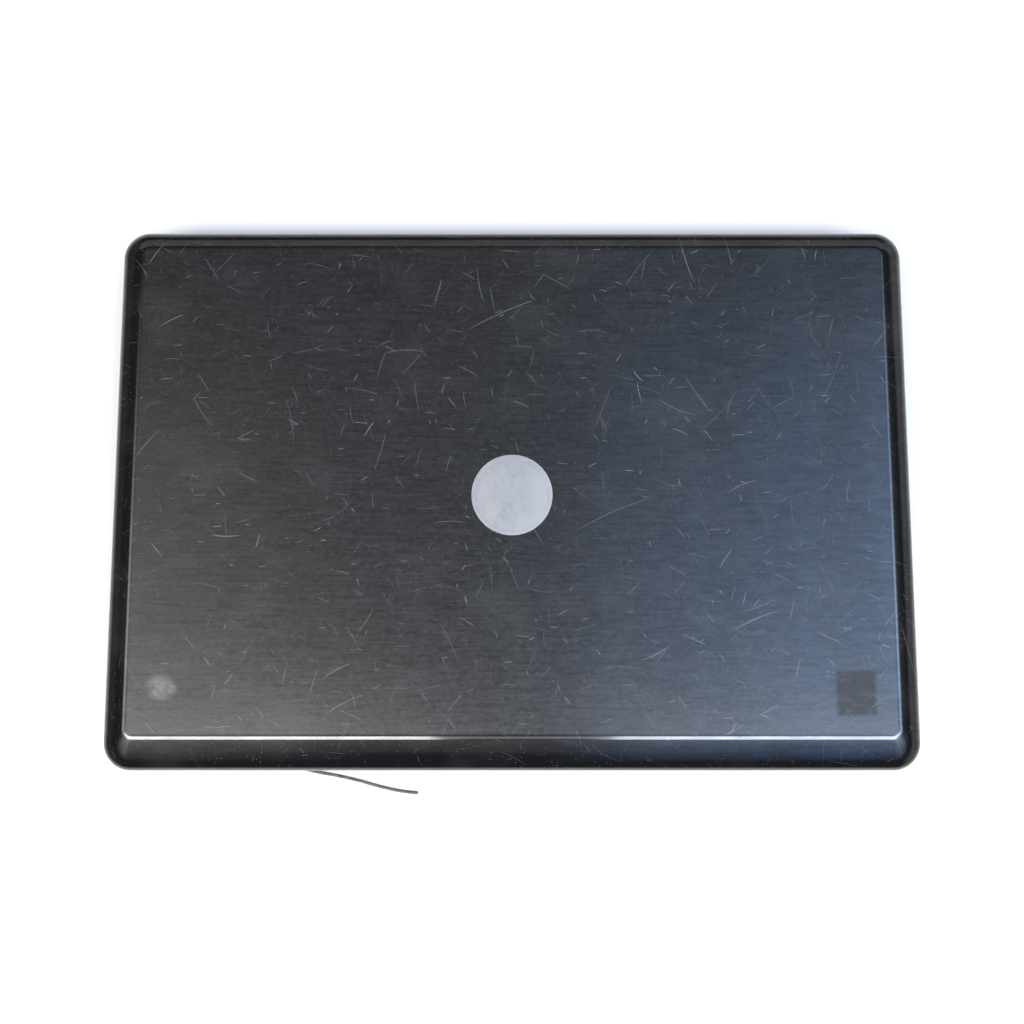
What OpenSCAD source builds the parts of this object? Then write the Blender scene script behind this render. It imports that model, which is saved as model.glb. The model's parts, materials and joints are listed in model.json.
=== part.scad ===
// Laptop computer, closed at rest.
// +X is the user's right, -Y the user's side, +Z up. The origin lies on the table under the middle.

/* [Overall] */
// Width of the closed laptop
body_w = 378; // [370:1:384]
// Depth of the closed laptop, front edge to hinge edge
body_d = 257; // [255:1:262]
// Radius of the lid's corners in plan
corner_r = 13; // [10:0.5:15]

/* [Lid] */
// Height of the lid's inner face above the table
lid_z = 27.6; // [27.5:0.1:28]
// Thickness of the closed lid
lid_h = 10; // [10:0.1:11]
// Width of the rolled edge along the sides
roll_side = 12.3; // [9:0.1:12.5]
// Width of the rolled edge along the front
roll_front = 10.3; // [8:0.1:10.5]
// Width of the rolled edge along the hinge side
roll_rear = 17.2; // [14:0.1:17.5]
// Wall of the lid cover
lid_wall = 1.8; // [1.5:0.1:2]

/* [Screen] */
// Width of the visible screen
screen_w = 346; // [344:1:347]
// Depth of the visible screen
screen_d = 195; // [193:1:196]
// Middle of the screen, measured along Y
screen_y = -9; // [-10:0.5:-8]

/* [Base] */
// Height of the palm rest above the table
deck_z = 27; // [26.9:0.1:27]
// Height of the joint between the base cover and the top cover
split_z = 19.4; // [19.3:0.1:19.5]
// Height of the flat underside above the table
belly_z = 2.5; // [2.5:0.1:2.6]
// Wall of the base shells
wall = 2; // [1.8:0.1:2]

/* [Hinge] */
// Distance of the hinge axis in front of the lid's hinge edge
hinge_in = 8; // [8:0.1:8.5]
// Height of the hinge axis above the table
hinge_z = 21.6; // [21.5:0.1:21.7]
// Radius of the hinge pin
pin_r = 2; // [1.8:0.1:2]
// Radial clearance of the pin in its bracket
pin_gap = 0.05; // [0.03:0.01:0.08]

/* [Keyboard] */
// Spacing of the keys along X
key_x = 18.7; // [18.5:0.1:18.7]
// Spacing of the key rows
key_y = 18.6; // [18.4:0.1:18.6]
// Height of the tops of the keys above the table
key_top = 27.2; // [27:0.1:27.3]

/* [Stray lead] */
// Diameter of the antenna lead that hangs out at the back
lead_d = 1.4; // [1.2:0.1:1.5]

/* [Hidden] */
$fn = 48;

// Plan of the lid and of the base
half_w = body_w / 2;
half_d = body_d / 2;
base_half = half_w - 2;
base_front = -half_d + 2;
base_rear = half_d - 8.5;
base_r = corner_r - 1;
hinge_y = half_d - hinge_in;

// Heights inside the lid
lid_top = lid_z + lid_h;
bezel_h = 1.3;
cover_z = lid_z + bezel_h;
roll_z = cover_z + 1.3;
lcd_z = cover_z + 0.5;
lcd_h = 5.4;
lcd_half = 179.6;
lcd_front = screen_y - 102.5;
lcd_rear = screen_y + 107;
pocket_half = 174.5;
pocket_front = screen_y - 99;
pocket_rear = screen_y + 99;
webcam_y = -117.5;

// Heights inside the base
floor_z = belly_z + wall;
board_z = 8;
board_top = board_z + 1.2;
ceiling_z = deck_z - 1.8;
plate_z = split_z + 0.5;
plate_top = plate_z + 0.9;

// Hinge stations along X, given for the right side
cap_x = [118, 150];
knuckle_x = [126, 144];
barrel_x = [151, 163];
bracket_x = 157;
bracket_y = [97, 107];
notch_x = [108, 150.8];
cap_r = 5.4;
notch_r = 8.6;
cable_x = 121.5;

// Optical drive, battery and fan
drive_x = [58, 184.8];
drive_y = [-69, 59];
drive_z = [6.4, 18.9];
disc_at = [122, -5];
battery_half = 103;
battery_y = 75;
battery_top = 24.6;
bay_half = 104;
fan_at = [-142, 45];
fan_z = [5.6, 16.6];
intake_r = 21;

// Ports: middle of each along Y on the side walls, or along X on the front wall
vga_y = 3;
ethernet_y = -24;
usb_left = [-43, -60];
usb_right = 78;
power_y = 104;
jack_x = [70, 88];
jack_z = 15;
port_mid = 14;

screw_at = [[-176, -104], [176, -104], [-100, -80], [110, -90], [-178, 91.5], [178, 91.5]];
foot_at = [[-158, -96], [158, -96], [-158, 102], [158, 102]];

// Keyboard: the left edge and the front edge of the block of keys
keys_left = -180;
keys_front = -38;
function_depth = 14.4;
key_bottom = 23.4;
pad_left = keys_left + 15.25 * key_x;
well_half = 181;
well_y = [keys_front - 1.2, keys_front + 5 * key_y + function_depth + 1.2];

// Touchpad
pad_x = [-80, 4];
pad_y = [-103, -55];
pad_button_y = [-117, -104.5];

// The stray lead's centre line, from the back wall to its bare end
lead_route = [
    [113, 118.5, 6.5], [113, 121, 6.4], [112.9, 123.2, 5.7], [112.5, 125.2, 4.4], [111.5, 127, 3],
    [109.8, 128.6, 1.9], [107.4, 130, 1.2], [104.6, 131.2, 0.85], [101.4, 132.2, 0.75], [98, 133, 0.75],
    [94, 133.8, 0.75], [90, 134.5, 0.75], [86, 135.2, 0.75], [82, 136, 0.75], [78, 136.9, 0.75],
    [74, 137.9, 0.75], [70, 139, 0.75], [66, 140.1, 0.75], [62, 141.1, 0.75], [58, 142, 0.75],
    [54, 142.7, 0.75], [50, 143.2, 0.75], [46, 143.5, 0.75]
];

// ---------- shapes that repeat ----------

// Corner points of a rounded rectangle, counter-clockwise
function rounded(half, front, rear, r, steps = 10) = [
    for (c = [[1, 1, 0], [-1, 1, 90], [-1, -1, 180], [1, -1, 270]])
        for (i = [0 : steps])
            let (a = c[2] + 90 * i / steps)
                [c[0] * (half - r) + r * cos(a), (c[1] > 0 ? rear - r : front + r) + r * sin(a)]
];

// Upright plate with a rounded-rectangle plan between two heights
module plate(half, front, rear, r, z0, z1) {
    translate([0, 0, z0]) linear_extrude(z1 - z0) polygon(rounded(half, front, rear, r));
}

// Box between two corners
module block(x, y, z) {
    translate([x[0], y[0], z[0]]) cube([x[1] - x[0], y[1] - y[0], z[1] - z[0]]);
}

// Rod along X, Y or Z
module rod_x(x, y, z, r) {
    translate([x[0], y, z]) rotate([0, 90, 0]) cylinder(r = r, h = x[1] - x[0]);
}
module rod_y(x, y, z, r) {
    translate([x, y[1], z]) rotate([90, 0, 0]) cylinder(r = r, h = y[1] - y[0]);
}
module rod_z(x, y, z, r) {
    translate([x, y, z[0]]) cylinder(r = r, h = z[1] - z[0]);
}

// Copy on the right and mirrored copy on the left
module both_sides() {
    children();
    mirror([1, 0, 0]) children();
}

// Direction of a route at its point i, halfway between the stretches that meet there
function unit(v) = norm(v) > 0 ? v / norm(v) : v;
function heading(p, i) = unit(unit(p[min(i + 1, len(p) - 1)] - p[i]) + unit(p[i] - p[max(i - 1, 0)]));

// Ring of n points round point i, square to the route. No route runs along the reference direction.
function ring(p, i, r, n) =
    let (t = heading(p, i), u = unit(cross([1, 2, 3], t)), v = cross(t, u))
        [for (k = [0 : n - 1]) p[i] + r * cos(360 * k / n) * u + r * sin(360 * k / n) * v];

// Round cable of radius r with n sides along the route p
module cable(p, r, n) {
    last = len(p) - 1;
    polyhedron(
        points = [for (i = [0 : last]) each ring(p, i, r, n)],
        faces = concat(
            [[for (k = [0 : n - 1]) k]],
            [[for (k = [n - 1 : -1 : 0]) last * n + k]],
            [for (i = [0 : last - 1]) for (k = [0 : n - 1])
                [i * n + k, (i + 1) * n + k, (i + 1) * n + (k + 1) % n]],
            [for (i = [0 : last - 1]) for (k = [0 : n - 1])
                [i * n + k, (i + 1) * n + (k + 1) % n, i * n + (k + 1) % n]]
        )
    );
}

// ---------- lid ----------

// Domed lid body: rings that roll over the sides to a flat top. inset shrinks it on every side.
module lid_body(inset, bottom, top) {
    steps = 8;
    rings = [for (i = [-1 : steps])
        let (
            a = 90 * max(i, 0) / steps,
            s = 1 - cos(a),
            z = i < 0 ? bottom : roll_z + (top - roll_z) * sin(a),
            front = -half_d + inset + roll_front * s,
            rear = half_d - inset - roll_rear * s,
            r = max(corner_r - inset - roll_side * s, 1.5)
        )
        [for (p = rounded(half_w - inset - roll_side * s, front, rear, r, 8)) [p[0], p[1], z]]];
    n = len(rings[0]);
    last = len(rings) - 1;
    sides = [for (i = [0 : last - 1]) for (k = [0 : n - 1])
        let (a = i * n + k, b = i * n + (k + 1) % n)
        each [[a, a + n, b + n], [a, b + n, b]]];
    floor_face = [for (k = [0 : n - 1]) k];
    top_face = [for (k = [n - 1 : -1 : 0]) last * n + k];
    polyhedron(points = [for (ring = rings) each ring], faces = concat([floor_face, top_face], sides));
}

module lid_cover() {
    color([0.05, 0.055, 0.06]) difference() {
        lid_body(0, cover_z, lid_top);
        lid_body(lid_wall, cover_z - 1, lid_top - lid_wall);
        translate([0, badge_y, lid_top - 0.5]) linear_extrude(1)
            polygon([for (i = [0 : 63]) (badge_r + 0.2) * [cos(i * 5.625), sin(i * 5.625)]]);
    }
}

// Plain round plate in the middle of the lid, with a turned groove near its edge
badge_r = 19;
badge_y = 1;
module lid_badge() {
    color([0.78, 0.78, 0.8]) difference() {
        rod_z(0, badge_y, [lid_top - 0.5, lid_top + 0.35], badge_r);
        difference() {
            rod_z(0, badge_y, [lid_top + 0.15, lid_top + 1], badge_r - 1.6);
            rod_z(0, badge_y, [lid_top, lid_top + 1.1], badge_r - 2.4);
        }
    }
}

// Thin frame round the screen, with a lip that presses on the display module
module display_bezel() {
    lip = 3;
    color([0.06, 0.06, 0.065]) difference() {
        union() {
            plate(half_w - 0.9, -half_d + 0.9, half_d - 0.9, corner_r - 0.9, lid_z, cover_z);
            plate(screen_w / 2 + lip, screen_y - screen_d / 2 - lip, screen_y + screen_d / 2 + lip, 3,
                cover_z - 0.1, lcd_z);
        }
        plate(screen_w / 2, screen_y - screen_d / 2, screen_y + screen_d / 2, 1.2, lid_z - 1, lcd_z + 1);
        rod_z(0, webcam_y, [lid_z - 1, cover_z + 1], 3.2);
        rod_z(16, webcam_y, [lid_z - 1, cover_z + 1], 0.6);
        both_sides() {
            block([knuckle_x[0] - 0.4, knuckle_x[1] + 0.4], [hinge_y - 1.2, hinge_y + 1.2], [lid_z - 1, cover_z + 1]);
            rod_z(cable_x, hinge_y, [lid_z - 1, cover_z + 1], 1.75);
        }
        for (p = bumper_at) rod_z(p[0], p[1], [lid_z - 1, lid_z + 0.6], bumper_r);
    }
}

// Round rubber pads that keep the lid off the palm rest
bumper_r = 3.5;
bumper_at = [[-181, -119], [181, -119], [-70, -122], [70, -122], [-182, 30], [182, 30]];
module bezel_bumpers() {
    color([0.12, 0.12, 0.12]) for (p = bumper_at) rod_z(p[0], p[1], [lid_z - 0.5, lid_z + 0.6], bumper_r);
}

module lcd_frame() {
    color([0.55, 0.56, 0.58]) difference() {
        block([-lcd_half, lcd_half], [lcd_front, lcd_rear], [lcd_z, lcd_z + lcd_h]);
        block([-pocket_half, pocket_half], [pocket_front, pocket_rear], [lcd_z - 1, lcd_z + lcd_h - 0.9]);
    }
}

// Sheet that fills the display frame's pocket
module pocket_sheet(z) {
    gap = 0.3;
    block([gap - pocket_half, pocket_half - gap], [pocket_front + gap, pocket_rear - gap], z);
}

module lcd_glass() {
    color([0.03, 0.035, 0.04]) pocket_sheet([lcd_z + 0.1, lcd_z + 1.5]);
}

module lcd_backlight() {
    color([0.9, 0.9, 0.88]) pocket_sheet([lcd_z + 1.6, lcd_z + 4.4]);
}

module inverter_board() {
    top = 31.4;
    color([0.1, 0.35, 0.2]) {
        block([-100, 10], [101, 112], [top - 1, top]);
        block([-92, -72], [102, 111], [top, top + 3.4]);
        block([-60, -52], [103, 110], [top, top + 1.8]);
        block([-40, -28], [103, 109], [top, top + 1.4]);
        block([-4, 8], [103, 110], [top, top + 2.2]);
    }
}

module webcam_board() {
    color([0.1, 0.35, 0.2]) difference() {
        union() {
            block([-30, 30], [webcam_y - 4.5, webcam_y + 4.5], [31, 32]);
            block([-4.5, 4.5], [webcam_y - 4, webcam_y + 4], [29.2, 31]);
            block([15, 20], [webcam_y - 1.5, webcam_y + 2.5], [29.8, 31]);
        }
        rod_z(0, webcam_y, [28, 29.8], 2.6);
    }
}

module webcam_lens() {
    color([0.02, 0.02, 0.03]) {
        rod_z(0, webcam_y, [lid_z + 0.2, lid_z + 1.1], 3.1);
        rod_z(0, webcam_y, [lid_z + 1, 29.7], 2.4);
    }
}

module wifi_antennas() {
    color([0.75, 0.6, 0.3]) both_sides() {
        block([120, 160], [webcam_y - 4, webcam_y + 4], [31.6, 32]);
        block([136, 142], [webcam_y - 2.5, webcam_y + 2.5], [32, 33]);
    }
}

// Antenna leads on the right, display cable on the left. Each leaves along the hinge axis.
module lid_wiring() {
    color([0.15, 0.15, 0.16]) {
        z = 33;
        cable([[cap_x[0] + 0.1, hinge_y, hinge_z], [cable_x, hinge_y, hinge_z], [cable_x, hinge_y, z],
            [cable_x, 102, z], [181, 100.4, z], [183.3, 96, z], [183.3, -110, z], [180.5, -113, z],
            [158, -113, z]], 0.8, 10);
        cable([[-cap_x[0] - 0.1, hinge_y, hinge_z], [-cable_x, hinge_y, hinge_z], [-cable_x, hinge_y, z],
            [-cable_x, 114, z], [-106, 103, z], [-106, lcd_rear, z]], 1.2, 10);
    }
}

// Steel arms: knuckle on the pin, leaf into the lid, plate across to the rail beside the display
module hinge_arms() {
    color([0.6, 0.6, 0.62]) both_sides() difference() {
        union() {
            rod_x(knuckle_x, hinge_y, hinge_z, 4);
            block(knuckle_x, [hinge_y - 0.8, hinge_y + 0.8], [hinge_z + 3, 31.4]);
            block([knuckle_x[0], 181.4], [104, hinge_y + 0.8], [30.2, 31.4]);
            block([180.2, 181.4], [-95, 105], [30.2, 31.4]);
            block([180.2, 181.4], [-95, 88], [31.3, 34]);
        }
        rod_x([knuckle_x[0] - 1, knuckle_x[1] + 1], hinge_y, hinge_z, pin_r);
        for (x = [158, 172]) rod_z(x, 110, [29, 33], 1.6);
    }
}

// Plastic shrouds that hang from the bezel round each hinge
module hinge_caps() {
    color([0.06, 0.06, 0.065]) both_sides() difference() {
        union() {
            rod_x(cap_x, hinge_y, hinge_z, cap_r);
            block(cap_x, [hinge_y - 5, hinge_y + 5], [hinge_z, lid_z]);
        }
        rod_x([knuckle_x[0] - 0.5, knuckle_x[1] + 0.5], hinge_y, hinge_z, 4.15);
        block([knuckle_x[0] - 0.5, knuckle_x[1] + 0.5], [hinge_y - 1.1, hinge_y + 1.1], [hinge_z, lid_z + 1]);
        rod_x([knuckle_x[1], cap_x[1] + 1], hinge_y, hinge_z, pin_r + pin_gap);
        rod_x([cap_x[0] - 1, cable_x], hinge_y, hinge_z, 1.6);
        rod_z(cable_x, hinge_y, [hinge_z - 1.9, lid_z + 1], 1.75);
    }
}

module hinge_pins() {
    color([0.75, 0.75, 0.77]) both_sides() rod_x([knuckle_x[0], barrel_x[1] + 0.4], hinge_y, hinge_z, pin_r);
}

// ---------- base shells ----------

// Pockets behind the deck in which the lid's hinge shrouds turn
module hinge_notches() {
    both_sides() {
        rod_x(notch_x, hinge_y, hinge_z, notch_r);
        rod_x([notch_x[1] - 0.1, barrel_x[1] + 1.4], hinge_y, hinge_z, cap_r + 0.3);
    }
}

// Solid round the right-hand pocket, from which the pocket is cut
module notch_wall(z0, z1) {
    block([notch_x[0] - 1.9, notch_x[1]], [hinge_y - notch_r - 1.8, base_rear - 1], [z0, z1]);
}

// Outline of the base at one height: inset from the sides, the front and the rear
module base_slice(side, front, rear, z, grow = 0) {
    plate(base_half - side - grow, base_front + front + grow, base_rear - rear - grow, base_r - grow, z, z + 0.01);
}

// Body of the base cover, tapered towards the table
module base_body(grow, bottom, top) {
    lift = bottom - belly_z;
    hull() {
        base_slice(3.5, 15, 2.5, bottom, grow);
        base_slice(0, 7.5, 0, belly_z + 3.5 + lift * 0.6, grow);
        base_slice(0, 0, 0, belly_z + 9.5, grow);
        base_slice(0, 0, 0, top - 0.01, grow);
    }
}

// Openings in the side walls and the front wall
module port_openings() {
    far = base_half + 5;
    block([-far, -base_half + 3], [vga_y - 16, vga_y + 16], [board_top - 0.3, 19.1]);
    block([-far, -base_half + 3], [ethernet_y - 8.3, ethernet_y + 8.3], [board_top - 0.3, 18.9]);
    for (y = usb_left) block([-far, -base_half + 3], [y - 6.9, y + 6.9], [board_top - 0.3, 15.4]);
    block([base_half - 3, far], [usb_right - 6.9, usb_right + 6.9], [board_top - 0.3, 15.4]);
    rod_x([base_half - 3, far], power_y, port_mid, 4.6);
    for (x = jack_x) rod_y(x, [base_front - 1, base_front + 3], jack_z, 3.5);
    block([drive_x[1] - 1, far], [drive_y[0] - 0.3, drive_y[1] + 0.3], [drive_z[0] - 0.3, drive_z[1] + 0.2]);
    for (i = [0 : 11]) block([-far, -base_half + 3], [26.8 + 4 * i, 29.2 + 4 * i], [8, 17]);
    block([-far, -base_half + 3], [112, 115], [11, 18]);
    rod_y(lead_route[0][0], [base_rear - 3, base_rear + 1], lead_route[0][2], 1.1);
}

// Recess and opening for a flush door in the underside
module door_opening(x, y) {
    block(x, y, [belly_z - 1, belly_z + 1.6]);
    block([x[0] + 2, x[1] - 2], [y[0] + 2, y[1] - 2], [belly_z, floor_z + 1]);
}
drive_door_x = [-54, 58];
drive_door_y = [-108, -36];
memory_door_x = [-66, 14];
memory_door_y = [-26, 48];

// Slots of the air intake, cut to a circle under the fan
module intake_slots() {
    for (i = [-6 : 6]) {
        reach = sqrt(pow(intake_r, 2) - pow(3 * i, 2));
        block([fan_at[0] - reach, fan_at[0] + reach], [fan_at[1] + 3 * i - 0.8, fan_at[1] + 3 * i + 0.8],
            [belly_z - 1, floor_z + 1]);
    }
}

module base_cover() {
    color([0.09, 0.09, 0.1]) difference() {
        union() {
            difference() {
                base_body(0, belly_z, split_z);
                base_body(wall, floor_z, split_z + 1);
                block([-bay_half, bay_half], [battery_y - 0.6, base_rear + 5], [0, split_z + 1]);
            }
            // battery bay walls, with a ledge along each end for the battery to slide on
            block([-bay_half - 2, bay_half + 2], [battery_y - 2.4, battery_y - 0.6], [floor_z - 0.5, 24.9]);
            both_sides() {
                block([bay_half, bay_half + 2], [battery_y - 2.4, base_rear - 2.5], [floor_z - 0.5, 24.9]);
                block([bay_half - 2.5, bay_half + 0.5], [battery_y - 1, base_rear - 2.5], [belly_z, belly_z + 1.2]);
                notch_wall(floor_z + 5, split_z);
                for (y = bracket_y) rod_z(bracket_x, y, [floor_z - 0.5, 17.6], 3.4);
            }
            for (p = screw_at) rod_z(p[0], p[1], [floor_z - 1.5, 11.9], 3.4);
        }
        hinge_notches();
        port_openings();
        door_opening(drive_door_x, drive_door_y);
        door_opening(memory_door_x, memory_door_y);
        intake_slots();
        block([bay_half - 45, bay_half - 15], [57, 69], [belly_z - 1, belly_z + 1.1]);
        block([bay_half - 40, bay_half - 26], [61, 65], [belly_z, floor_z + 1]);
        both_sides() {
            for (y = bracket_y) rod_z(bracket_x, y, [9, 18], 1.25);
        }
        for (p = screw_at) {
            rod_z(p[0], p[1], [belly_z - 1, 12], 1.4);
            rod_z(p[0], p[1], [belly_z - 1, belly_z + 2.2], 2.8);
        }
    }
}

// Palm rest, keyboard surround and speaker strip in one moulding
module top_cover() {
    edge = 1;
    color([0.07, 0.07, 0.075]) difference() {
        union() {
            difference() {
                hull() {
                    plate(base_half, base_front, base_rear, base_r, split_z, deck_z - edge);
                    plate(base_half - edge, base_front + edge, base_rear - 0.3, base_r - edge, deck_z - 0.01, deck_z);
                }
                plate(base_half - wall, base_front + wall, base_rear - wall, base_r - wall, split_z - 1, ceiling_z);
            }
            // rim round the keyboard, with a ledge under its plate
            plate(well_half + 1.2, well_y[0] - 1.2, well_y[1] + 1.2, 3.2, plate_z - 0.9, ceiling_z + 0.1);
            both_sides() notch_wall(split_z, ceiling_z);
            for (p = screw_at) rod_z(p[0], p[1], [12, ceiling_z + 0.5], 3.2);
        }
        // battery, hinges and keyboard
        block([-bay_half - 2.2, bay_half + 2.2], [battery_y - 3, base_rear + 5], [split_z - 1, 25]);
        hinge_notches();
        plate(well_half, well_y[0], well_y[1], 2, plate_z, deck_z + 1);
        plate(well_half - 2.5, well_y[0] + 2.5, well_y[1] - 2.5, 2, split_z - 2, deck_z + 1);
        both_sides() block([108.4, 114], [109, 114], [split_z - 1, ceiling_z]);
        // touchpad and its buttons
        for (y = [pad_y, pad_button_y])
            block([pad_x[0] - 0.3, pad_x[1] + 0.3], [y[0] - 0.3, y[1] + 0.3], [ceiling_z - 1, deck_z + 1]);
        rod_z(power_at[0], power_at[1], [ceiling_z - 1, deck_z + 1], power_r + 0.3);
        both_sides() for (i = [0 : 6])
            block([114.5, 149], [83 + 2.8 * i, 84.3 + 2.8 * i], [ceiling_z - 1, deck_z + 1]);
        for (p = screw_at) rod_z(p[0], p[1], [11, 20], 1.25);
        // status lights
        for (x = light_x) block([x - 2, x + 2], [base_front - 1, base_front + 0.6], [21.4, 22.8]);
    }
}
light_x = [-150, -142, -134];

module feet() {
    color([0.1, 0.1, 0.1]) for (p = foot_at) rod_z(p[0], p[1], [0, belly_z], 7);
}

// Flush door with a few finger grooves
module door(x, y) {
    difference() {
        block([x[0] + 0.3, x[1] - 0.3], [y[0] + 0.3, y[1] - 0.3], [belly_z, belly_z + 1.5]);
        for (i = [0 : 4]) block([(x[0] + x[1]) / 2 - 12, (x[0] + x[1]) / 2 + 12],
            [y[1] - 14 - 2.4 * i, y[1] - 13 - 2.4 * i], [belly_z - 1, belly_z + 0.5]);
    }
}

module hard_drive_door() {
    color([0.09, 0.09, 0.1]) door(drive_door_x, drive_door_y);
}

module memory_door() {
    color([0.09, 0.09, 0.1]) door(memory_door_x, memory_door_y);
}

module case_screws() {
    color([0.25, 0.25, 0.27]) {
        for (p = screw_at) translate([p[0], p[1], belly_z + 0.6]) screw(15);
        for (x = [-bracket_x, bracket_x]) for (y = bracket_y) translate([x, y, 20.8]) mirror([0, 0, 1]) screw(11);
    }
}
// Pan-head screw with a cross recess, its head at the bottom
module screw(length) {
    difference() {
        union() {
            cylinder(r = 2.5, h = 1.6);
            cylinder(r = 1.25, h = length);
        }
        for (a = [0, 90]) rotate([0, 0, a]) cube([3, 0.6, 1.2], center = true);
    }
}

// ---------- hinge parts in the base ----------

module hinge_brackets() {
    color([0.6, 0.6, 0.62]) both_sides() difference() {
        union() {
            rod_x(barrel_x, hinge_y, hinge_z, 4.2);
            block([152, 163], [92, 118.4], [17.6, 19.2]);
            block([152, 163], [115.6, 118.4], [18, 22]);
        }
        rod_x([barrel_x[0] - 1, barrel_x[1] + 1], hinge_y, hinge_z, pin_r + pin_gap);
        for (y = bracket_y) rod_z(bracket_x, y, [17, 20], 1.6);
    }
}

// Plastic sleeves over the brackets' barrels
module hinge_covers() {
    color([0.06, 0.06, 0.065]) both_sides() difference() {
        rod_x([barrel_x[0] - 0.2, barrel_x[1] + 1.2], hinge_y, hinge_z, cap_r);
        rod_x([barrel_x[0] - 1, barrel_x[1] + 0.6], hinge_y, hinge_z, 4.4);
        block([151.8, barrel_x[1] + 0.6], [110, hinge_y - 0.5], [17, hinge_z + 0.8]);
    }
}

// ---------- electronics ----------

module motherboard() {
    color([0.1, 0.38, 0.2]) {
        block([-110, 55], [-30, 71], [board_z, board_top]);
        block([-184, -109], [-75, 17.5], [board_z, board_top]);
        block([-94, -56], [22, 58], [board_top - 0.1, 12.4]);
        block([-36, -4], [-6, 24], [board_top - 0.1, 11]);
        block([10, 30], [40, 62], [board_top - 0.1, 12.2]);
        rod_z(38, 10, [board_top - 0.1, 12.6], 10);
        block([-60, 8], [10.4, 11.6], [5.2, board_z + 0.1]);
        block([-60, 8], [42.4, 43.6], [5.2, board_z + 0.1]);
        block([20, 50], [30.4, 32], [5.4, board_z + 0.1]);
        for (i = [0 : 5]) rod_z(-100 + 9 * i, -20, [board_top - 0.1, 14], 3);
        for (i = [0 : 3]) block([-150 + 10 * i, -144 + 10 * i], [-30, -24], [board_top - 0.1, 11.5]);
    }
}

// Fin stack at the outlet, plate on the processor and the flat pipe between them
module heat_sink() {
    pipe_z = [16.7, 18.8];
    color([0.72, 0.45, 0.28]) {
        block([-184.4, -172], [26, 74], [15.2, 15.8]);
        for (i = [0 : 23]) block([-184.4, -172], [26 + 2 * i, 26.4 + 2 * i], [7.4, 15.3]);
        block([-182, -174], [30, 70], [15.7, pipe_z[1]]);
        block([-178, -75], [62, 70], pipe_z);
        block([-79, -71], [30, 70], pipe_z);
        block([-93, -57], [23, 57], [12.5, 14]);
        block([-85, -65], [28, 50], [13.9, pipe_z[0] + 0.1]);
    }
}

module fan_housing() {
    color([0.14, 0.14, 0.15]) difference() {
        block([fan_at[0] - 29, fan_at[0] + 29], [fan_at[1] - 25, fan_at[1] + 25], fan_z);
        rod_z(fan_at[0], fan_at[1], [fan_z[0] + 1, fan_z[1] - 1], 24.4);
        block([fan_at[0] - 30, fan_at[0]], [fan_at[1] - 18, fan_at[1] + 16], [fan_z[0] + 1, fan_z[1] - 1]);
        rod_z(fan_at[0], fan_at[1], [fan_z[0] - 1, fan_z[0] + 2], 17);
        rod_z(fan_at[0], fan_at[1], [fan_z[1] - 2, fan_z[1] - 0.3], 1.05);
    }
}

// Drum with straight blades on a shaft that runs in the top of the housing
module fan_rotor() {
    color([0.2, 0.2, 0.21]) translate([fan_at[0], fan_at[1], 0]) {
        rod_z(0, 0, [fan_z[0] + 1.6, fan_z[1] - 1.6], 11);
        rod_z(0, 0, [fan_z[1] - 1.7, fan_z[1] - 0.5], 1);
        for (i = [0 : 16]) rotate([0, 0, i * 360 / 17])
            block([10.5, 23.4], [-0.4, 0.4], [fan_z[0] + 1.8, fan_z[1] - 2.2]);
    }
}

module memory_modules() {
    color([0.08, 0.32, 0.16]) for (y = [-20, 12]) {
        block([-59.8, 7.8], [y, y + 30], [6.2, 7.2]);
        for (i = [0 : 3]) block([-56 + 16 * i, -45 + 16 * i], [y + 8, y + 22], [5, 6.3]);
    }
}

module wireless_card() {
    color([0.08, 0.32, 0.16]) {
        block([20, 50], [-20, 30], [6, 7]);
        block([24, 46], [-14, 10], [5, 6.1]);
    }
}

module hard_drive() {
    color([0.66, 0.67, 0.68]) difference() {
        block([-48, 52], [-108, -38], [5, 14.5]);
        rod_z(12, -73, [14, 15], 30);
        for (x = [-34, 42]) for (y = [-106, -40]) rod_z(x, y, [4, 8], 1.2);
    }
}

module speakers() {
    color([0.16, 0.16, 0.17]) both_sides() difference() {
        block([113.5, 150], [81, 103], [17.5, 23.5]);
        for (x = [122.5, 141]) rod_z(x, 92, [20, 24], 7.6);
    }
}

// ---------- optical drive ----------

module optical_drive() {
    color([0.7, 0.7, 0.72]) difference() {
        block(drive_x, drive_y, drive_z);
        block([drive_x[0] + 1, drive_x[1] + 1], [drive_y[0] + 1, drive_y[1] - 1],
            [drive_z[0] + 0.8, drive_z[1] - 0.8]);
    }
}

module disc_tray() {
    z = [drive_z[0] + 1.2, drive_z[1] - 2.4];
    color([0.16, 0.16, 0.17]) difference() {
        block([drive_x[0] + 2, drive_x[1] + 0.2], [drive_y[0] + 1.6, drive_y[1] - 1.6], z);
        rod_z(disc_at[0], disc_at[1], [z[1] - 3.4, z[1] + 1], 60.6);
        rod_z(disc_at[0], disc_at[1], [z[0] + 1.6, z[1] + 1], 16);
        rod_z(disc_at[0], disc_at[1], [z[0] - 1, z[0] + 2], 1.55);
        block([disc_at[0] + 20, disc_at[0] + 52], [disc_at[1] - 7, disc_at[1] + 7], [z[0] + 1.6, z[1]]);
    }
}

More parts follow.
